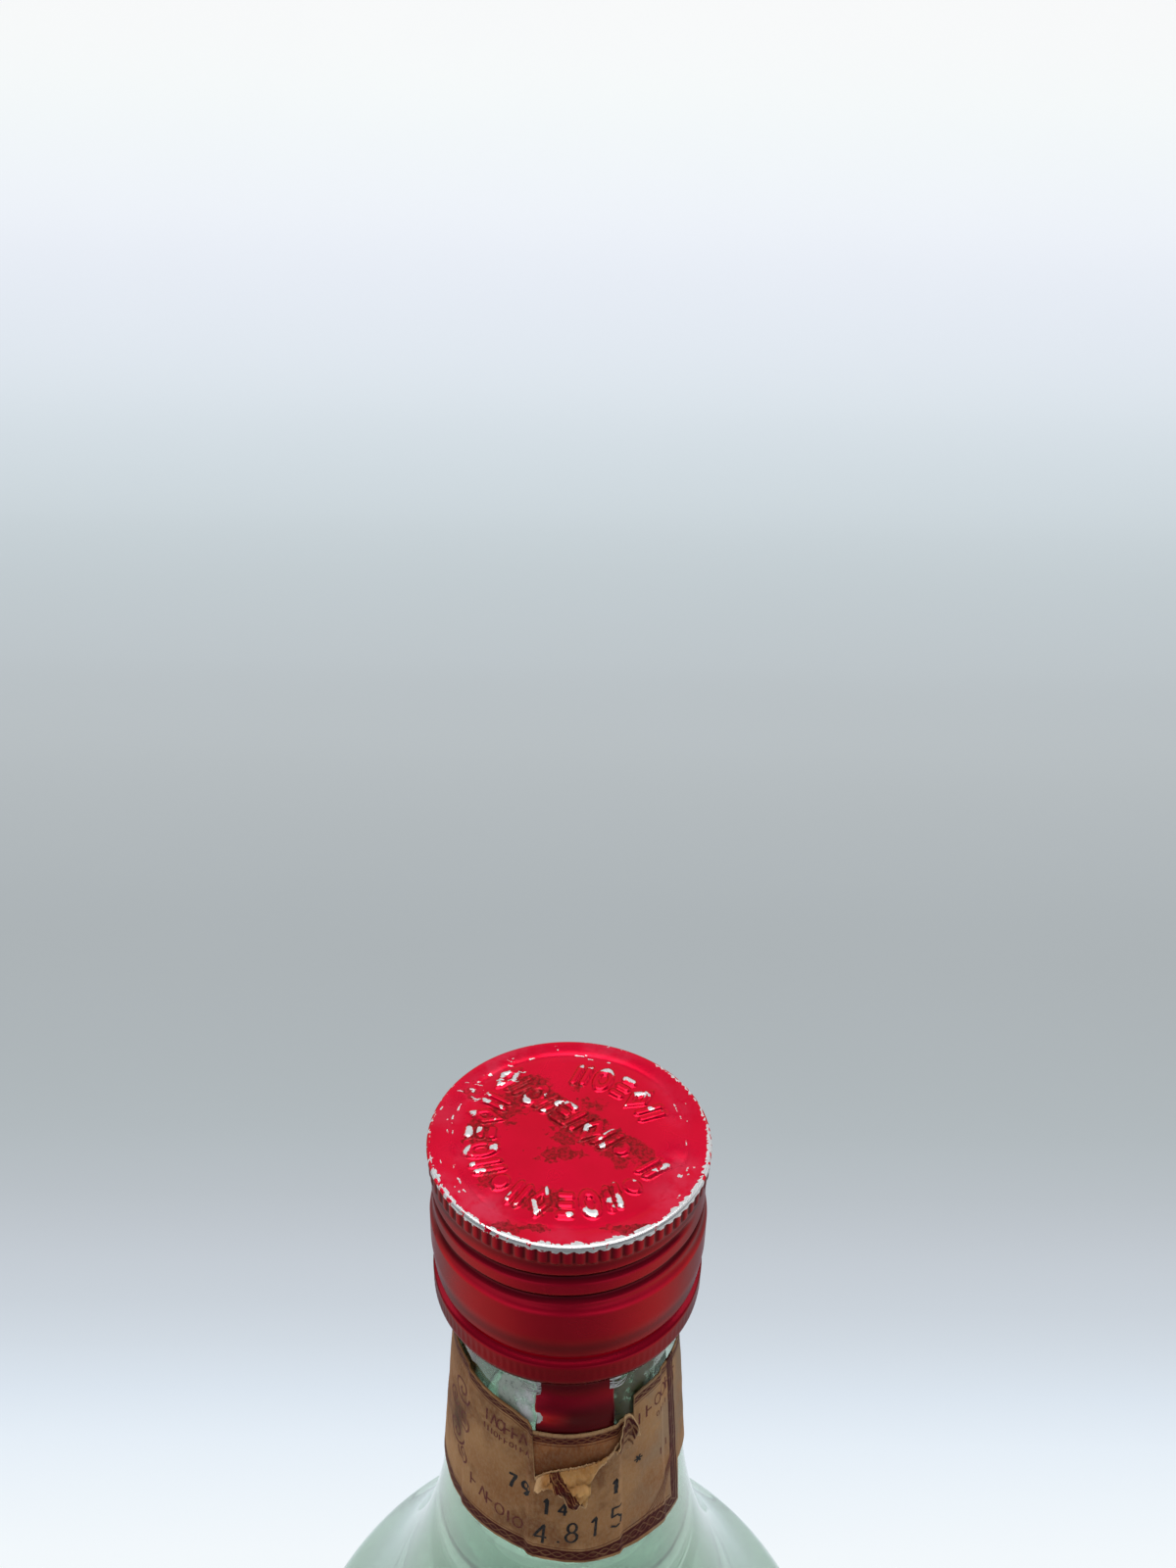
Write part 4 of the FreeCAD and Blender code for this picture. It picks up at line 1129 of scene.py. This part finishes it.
def numeral(store, which, x, y, wide, high, thick):
    """Plain numeral drawn with a pen, leaning a little, its middle at x, y."""
    w, h, lean = wide / 2, high / 2, 0.12
    strokes = {
        1: [[(-0.5, -0.5), (0.1, -1), (0.1, 1)]],
        4: [[(0.4, 1), (0.4, -1), (-0.9, 0.35), (0.9, 0.35)]],
        5: [[(0.8, -1), (-0.7, -1), (-0.75, -0.1), (0.1, -0.25), (0.8, 0.15), (0.7, 0.75),
             (0.0, 1.0), (-0.8, 0.8)]],
        7: [[(-0.8, -1), (0.8, -1), (0.1, 0.1), (-0.2, 1)]],
        8: [loop_path(0, -0.5, 0.62, 0.48), loop_path(0, 0.48, 0.8, 0.52)],
        9: [loop_path(0.05, -0.45, 0.7, 0.52), [(0.75, -0.4), (0.6, 0.4), (0.0, 1.0)]],
    }
    for stroke in strokes[which]:
        ribbon(store, [(x + w * (px - lean * py), y + h * py) for px, py in stroke], thick)


def print_piece(name, store, material):
    points, faces = store
    return piece(name, points, faces, material)


def make_stamp():
    """Black rubber stamp of plain numerals, in two rows, with a small star."""
    store = ([], [])
    for index, which in enumerate((4, 8, 1, 5)):
        numeral(store, which, -2.6 + index * 2.6 + (0.9 if index else 0), 48.4 - index * 0.5,
                1.6, 3.3, 0.32)
    ribbon(store, loop_path(-0.6, 49.5, 0.1, 0.1, count=5), 0.2)
    for index, which in enumerate((7, 9)):
        numeral(store, which, -6.3 + index * 1.7, 41.4 + index * 0.4, 1.2, 2.3, 0.42)
    numeral(store, 1, -2.0, 43.6, 1.0, 2.6, 0.42)
    numeral(store, 4, -0.1, 43.9, 1.1, 2.0, 0.34)
    numeral(store, 1, 6.0, 41.6, 1.0, 2.3, 0.5)
    for turn in (0, 60, 120):
        a = math.radians(turn)
        ribbon(store, [(9.3 - 0.6 * math.cos(a), 39.4 - 0.6 * math.sin(a)),
                       (9.3 + 0.6 * math.cos(a), 39.4 + 0.6 * math.sin(a))], 0.26)
    return print_piece("stamped_numerals", store, STAMP)


def tick_row(store, x, y, end, high, rise, thick, gap):
    """Row of short strokes and small loops that stands for a line of small print."""
    while x < end:
        pick = random.random()
        if pick < 0.45:
            ribbon(store, [(x, y - high / 2), (x, y + high / 2)], thick)
        elif pick < 0.65:
            ribbon(store, loop_path(x + gap * 0.1, y, high * 0.3, high * 0.45, count=9), thick * 0.8)
        elif pick < 0.8:
            ribbon(store, [(x - high * 0.25, y + high / 2), (x, y - high / 2),
                           (x + high * 0.25, y + high / 2)], thick * 0.8)
        else:
            ribbon(store, [(x - high * 0.2, y), (x + high * 0.25, y)], thick * 0.9)
            ribbon(store, [(x - high * 0.2, y - high / 2), (x - high * 0.2, y + high / 2)], thick)
        step_on = gap * random.uniform(0.85, 1.3)
        x += step_on
        y += rise * step_on


def scroll(store, x, y, size, way):
    """Spiral of 1.6 turns, wound one way or the other."""
    path = []
    for share in arc_steps(0.0, 1.0, 39):
        angle = share * 1.6 * 2 * math.pi
        reach = size * (1 - share) ** 0.8
        path.append((x + way * reach * math.cos(angle), y + reach * math.sin(angle)))
    ribbon(store, path, 0.24 * size ** 0.4)


def make_small_print():
    """Burgundy print: rows of strokes, scrolls at the left and a framed right end."""
    store = ([], [])
    tick_row(store, -10.3, 32.9, -4.3, 1.8, 0.16, 0.3, 1.05)
    tick_row(store, -10.6, 34.9, -4.3, 0.9, 0.16, 0.2, 0.62)
    tick_row(store, -12.0, 46.0, -4.2, 2.0, 0.34, 0.3, 1.25)
    tick_row(store, 9.6, 33.0, 16.6, 1.9, -0.28, 0.28, 1.2)
    tick_row(store, 12.6, 34.6, 15.5, 0.8, -0.2, 0.14, 0.6)
    tick_row(store, 13.0, 41.5, 15.5, 1.2, -0.1, 0.2, 1.1)
    for x, y, size, way in ((-15.6, 33.8, 2.1, 1), (-14.6, 38.2, 1.7, -1), (-16.4, 41.8, 2.0, 1),
                            (-14.4, 44.0, 1.3, -1), (-17.6, 37.0, 1.4, 1)):
        scroll(store, x, y, size, way)
    # lines that sweep from the foot up to the right end
    for index in range(5):
        start = 5.0 + index * 1.4
        ribbon(store, [(start + (15.9 - start) * s, 52.2 - 8.5 * s ** 2.1 + index * 0.28 * (1 - s))
                       for s in arc_steps(0, 1, 16)], 0.13)
    # plain repeats on the way round behind the neck
    x = -46.0
    while x < -22.0:
        scroll(store, x, 34.0, 1.7, 1)
        scroll(store, x + 3.0, 43.0, 1.7, -1)
        tick_row(store, x - 1.0, 38.6, x + 3.2, 1.5, 0.0, 0.22, 1.1)
        x += 6.4
    return print_piece("burgundy_print", store, BURGUNDY)


def make_film(name, material, left, right, top, foot):
    """Dirty film on the bare glass between two angles and two depths, ragged at its edges."""
    rows, columns = 40, 60
    per_degree = 0.24            # glass for each degree round the neck above the paper
    points, cover = [], []
    for row in range(rows):
        for column in range(columns):
            angle = left + (right - left) * column / (columns - 1)
            depth = top + (foot - top) * row / (rows - 1)
            points.append(around(angle, depth, neck(depth) + FILM_RISE))
            edge = min((angle - left) * per_degree, (right - angle) * per_degree,
                       depth - top, foot - depth)
            cover.append(ease(0.0, 1.4, edge + 0.9 * grain(angle * 0.2, depth * 0.7, 6.0)))
    return piece(name, points, grid(rows, columns), material, None,
                 marks={"cover": cover})


make_glass()
make_drink()
make_cap()
make_tongue()
make_burrs()
make_inner_band()
make_outer_band()
make_scrap()
make_corner()
make_stamp()
make_small_print()
make_film("dried_glue_film", GLUE_FILM, -38.0, -14.0, 21.4, 31.6)
# painted glint on the glass beside the tongue's left edge
make_film("painted_glint_smear", PAINTED_GLINT, -26.5, -14.0, 26.2, 32.6)
make_film("mossy_film", MOSSY_FILM, 19.0, 52.0, 20.4, 34.0)


# ---------------------------------------------------------------- floor, light and camera

# painted shade of the background paper at distances in metres from the bottle along it: grey through
# the middle, paler near and far, and darker in front of the bottle, where only glass and mirrors see
# it
BACKDROP_RUN, BACKDROP_BEFORE = 4.6, 1.6
BACKDROP_TONES = [((distance + BACKDROP_BEFORE) / BACKDROP_RUN, tone) for distance, tone in (
    (-0.5, "#85898C"), (-0.14, "#929699"), (0.0, "#E4E8EA"), (0.05, "#FCFEFF"),
    (0.13, "#F4FAFE"), (0.17, "#E2ECF6"), (0.2, "#CFD8E1"), (0.25, "#BDC4CB"),
    (0.3, "#AEB6BA"), (0.4, "#A8AFB2"), (0.5, "#ABB2B5"), (0.65, "#B5BCBF"),
    (0.8, "#BCC4C8"), (1.1, "#CAD4D9"), (1.3, "#DDE6ED"), (1.5, "#EFF4FC"),
    (1.65, "#FAFEFF"), (1.8, "#FFFFFF"))]


def seamless_paper():
    """Pale seamless background that glows, for the eye and for what glass and metal mirror, in a tone
    graded with painted shade; plain matt white for light that bounces off it."""
    material, tree = finish("seamless_backdrop")
    flat = put(tree, "UVMap", uv_map="unrolled").outputs[0]
    split = put(tree, "SeparateXYZ", {0: flat})
    along, aside = split.outputs[0], split.outputs[1]
    tone = put(tree, "ValToRGB", {0: along}, stops=BACKDROP_TONES)
    mottle = speckle(tree, 60.0, 2.0)
    tone = blend(tree, sums(tree, "MULTIPLY", mottle, 0.04), tone.outputs[0], "#C8D2E2")
    path = put(tree, "LightPath")
    # what glass and lacquer mirror from the left and right is paler
    mirrored = sums(tree, "SUBTRACT", 1.0, path.outputs["Is Camera Ray"])
    flanks = step(tree, sums(tree, "ABSOLUTE", aside), 0.06, 0.3)
    share = sums(tree, "MULTIPLY_ADD", flanks, 0.55, 0.08)
    share = sums(tree, "MAXIMUM", share,
                 sums(tree, "MULTIPLY", path.outputs["Is Transmission Ray"], 0.45))
    tone = blend(tree, sums(tree, "MULTIPLY", mirrored, share), tone, "#FBFFFF")
    seen = sums(tree, "MAXIMUM", path.outputs["Is Camera Ray"],
                sums(tree, "MAXIMUM", path.outputs["Is Glossy Ray"],
                     path.outputs["Is Transmission Ray"]))
    matt = put(tree, "BsdfDiffuse", Color="#F2F5F8")
    glow = put(tree, "Emission", {"Color": tone}, Strength=1.0)
    share = sums(tree, "MULTIPLY", seen, 0.92)
    both = put(tree, "MixShader", {0: share, 1: matt.outputs[0], 2: glow.outputs[0]})
    close(tree, both.outputs[0])
    return material


def make_backdrop():
    """Floor that sweeps up into a wall behind the bottle."""
    line = [(0.1 * i - BACKDROP_BEFORE, 0.0) for i in range(27)]
    bend = 0.5
    line += [(1.0 + bend * math.sin(t), bend * (1 - math.cos(t)))
             for t in arc_steps(0.0, math.pi / 2, 18)[1:]]
    line += [(1.0 + bend, bend + 0.1 * i) for i in range(1, 16)]
    points, flat, run = [], [], 0.0
    for index, (y, z) in enumerate(line):
        if index:
            run += math.hypot(y - line[index - 1][0], z - line[index - 1][1])
        for x in (-2.2, 2.2):
            points.append((x, y, z))
            flat.append((run / BACKDROP_RUN, x))
    mesh = bpy.data.meshes.new("seamless_backdrop")
    mesh.from_pydata(points, [], grid(len(line), 2))
    mesh.polygons.foreach_set("use_smooth", [True] * len(mesh.polygons))
    layer = mesh.uv_layers.new(name="unrolled")
    for loop in mesh.loops:
        layer.data[loop.index].uv = flat[loop.vertex_index]
    mesh.materials.append(seamless_paper())
    backdrop = bpy.data.objects.new("seamless_backdrop", mesh)
    bpy.context.scene.collection.objects.link(backdrop)


def softbox(name, place, target, wide, tall, watts, tint="#FFFFFF"):
    lamp = bpy.data.lights.new(name, "AREA")
    lamp.shape = "RECTANGLE"
    lamp.size, lamp.size_y = wide, tall
    lamp.energy = watts
    lamp.color = linear(tint)[:3]
    holder = bpy.data.objects.new(name, lamp)
    bpy.context.scene.collection.objects.link(holder)
    holder.location = place
    holder.rotation_euler = (Vector(target) - Vector(place)).to_track_quat("-Z", "Y").to_euler()


def light_scene():
    world = bpy.data.worlds.new("soft_room")
    bpy.context.scene.world = world
    world.use_nodes = True
    tree = world.node_tree
    tree.nodes.clear()
    # the room is dim for lighting and mirrors, brighter for what shines through glass
    through = put(tree, "LightPath").outputs["Is Transmission Ray"]
    glow = put(tree, "Background", {"Strength": sums(tree, "MULTIPLY_ADD", through, 0.6, 0.3)},
               Color="#EAF0F6")
    out = put(tree, "OutputWorld")
    tree.links.new(glow.outputs[0], out.inputs["Surface"])
    middle = (0.0, 0.0, 0.27)
    softbox("overhead_softbox", (0.0, 0.1, 1.35), middle, 0.8, 0.8, 9.3)
    softbox("left_softbox", (-0.9, 0.3, 0.75), middle, 0.4, 0.8, 1.2)
    softbox("right_softbox", (0.9, 0.3, 0.7), middle, 0.4, 0.8, 1.2)
    # light is passed on many times inside the filled bottle before it leaves
    cycles = bpy.context.scene.cycles
    cycles.max_bounces, cycles.transmission_bounces, cycles.glossy_bounces = 32, 32, 16


def aim_camera():
    """Close view from above the cap, looking down at the front of the neck."""
    pitch, yaw, roll = math.radians(29.0), math.radians(-0.68), math.radians(1.18)
    forward = Vector((-math.sin(yaw) * math.cos(pitch), math.cos(yaw) * math.cos(pitch),
                      -math.sin(pitch)))
    level = Vector((math.cos(yaw), math.sin(yaw), 0.0))
    upright = level.cross(forward)
    right = math.cos(roll) * level + math.sin(roll) * upright
    up = -math.sin(roll) * level + math.cos(roll) * upright
    lens = bpy.data.cameras.new("view_camera")
    lens.lens = 29.25
    lens.sensor_width = 36.0
    lens.clip_start = 0.01
    camera = bpy.data.objects.new("view_camera", lens)
    bpy.context.scene.collection.objects.link(camera)
    turn = Matrix((right, up, -forward)).transposed().to_4x4()
    camera.matrix_world = Matrix.Translation((0.0, -0.1044, TOP * MM + 0.1022)) @ turn
    bpy.context.scene.camera = camera


make_backdrop()
light_scene()
aim_camera()
bpy.context.scene.view_settings.view_transform = "Standard"

bpy.context.view_layer.update()
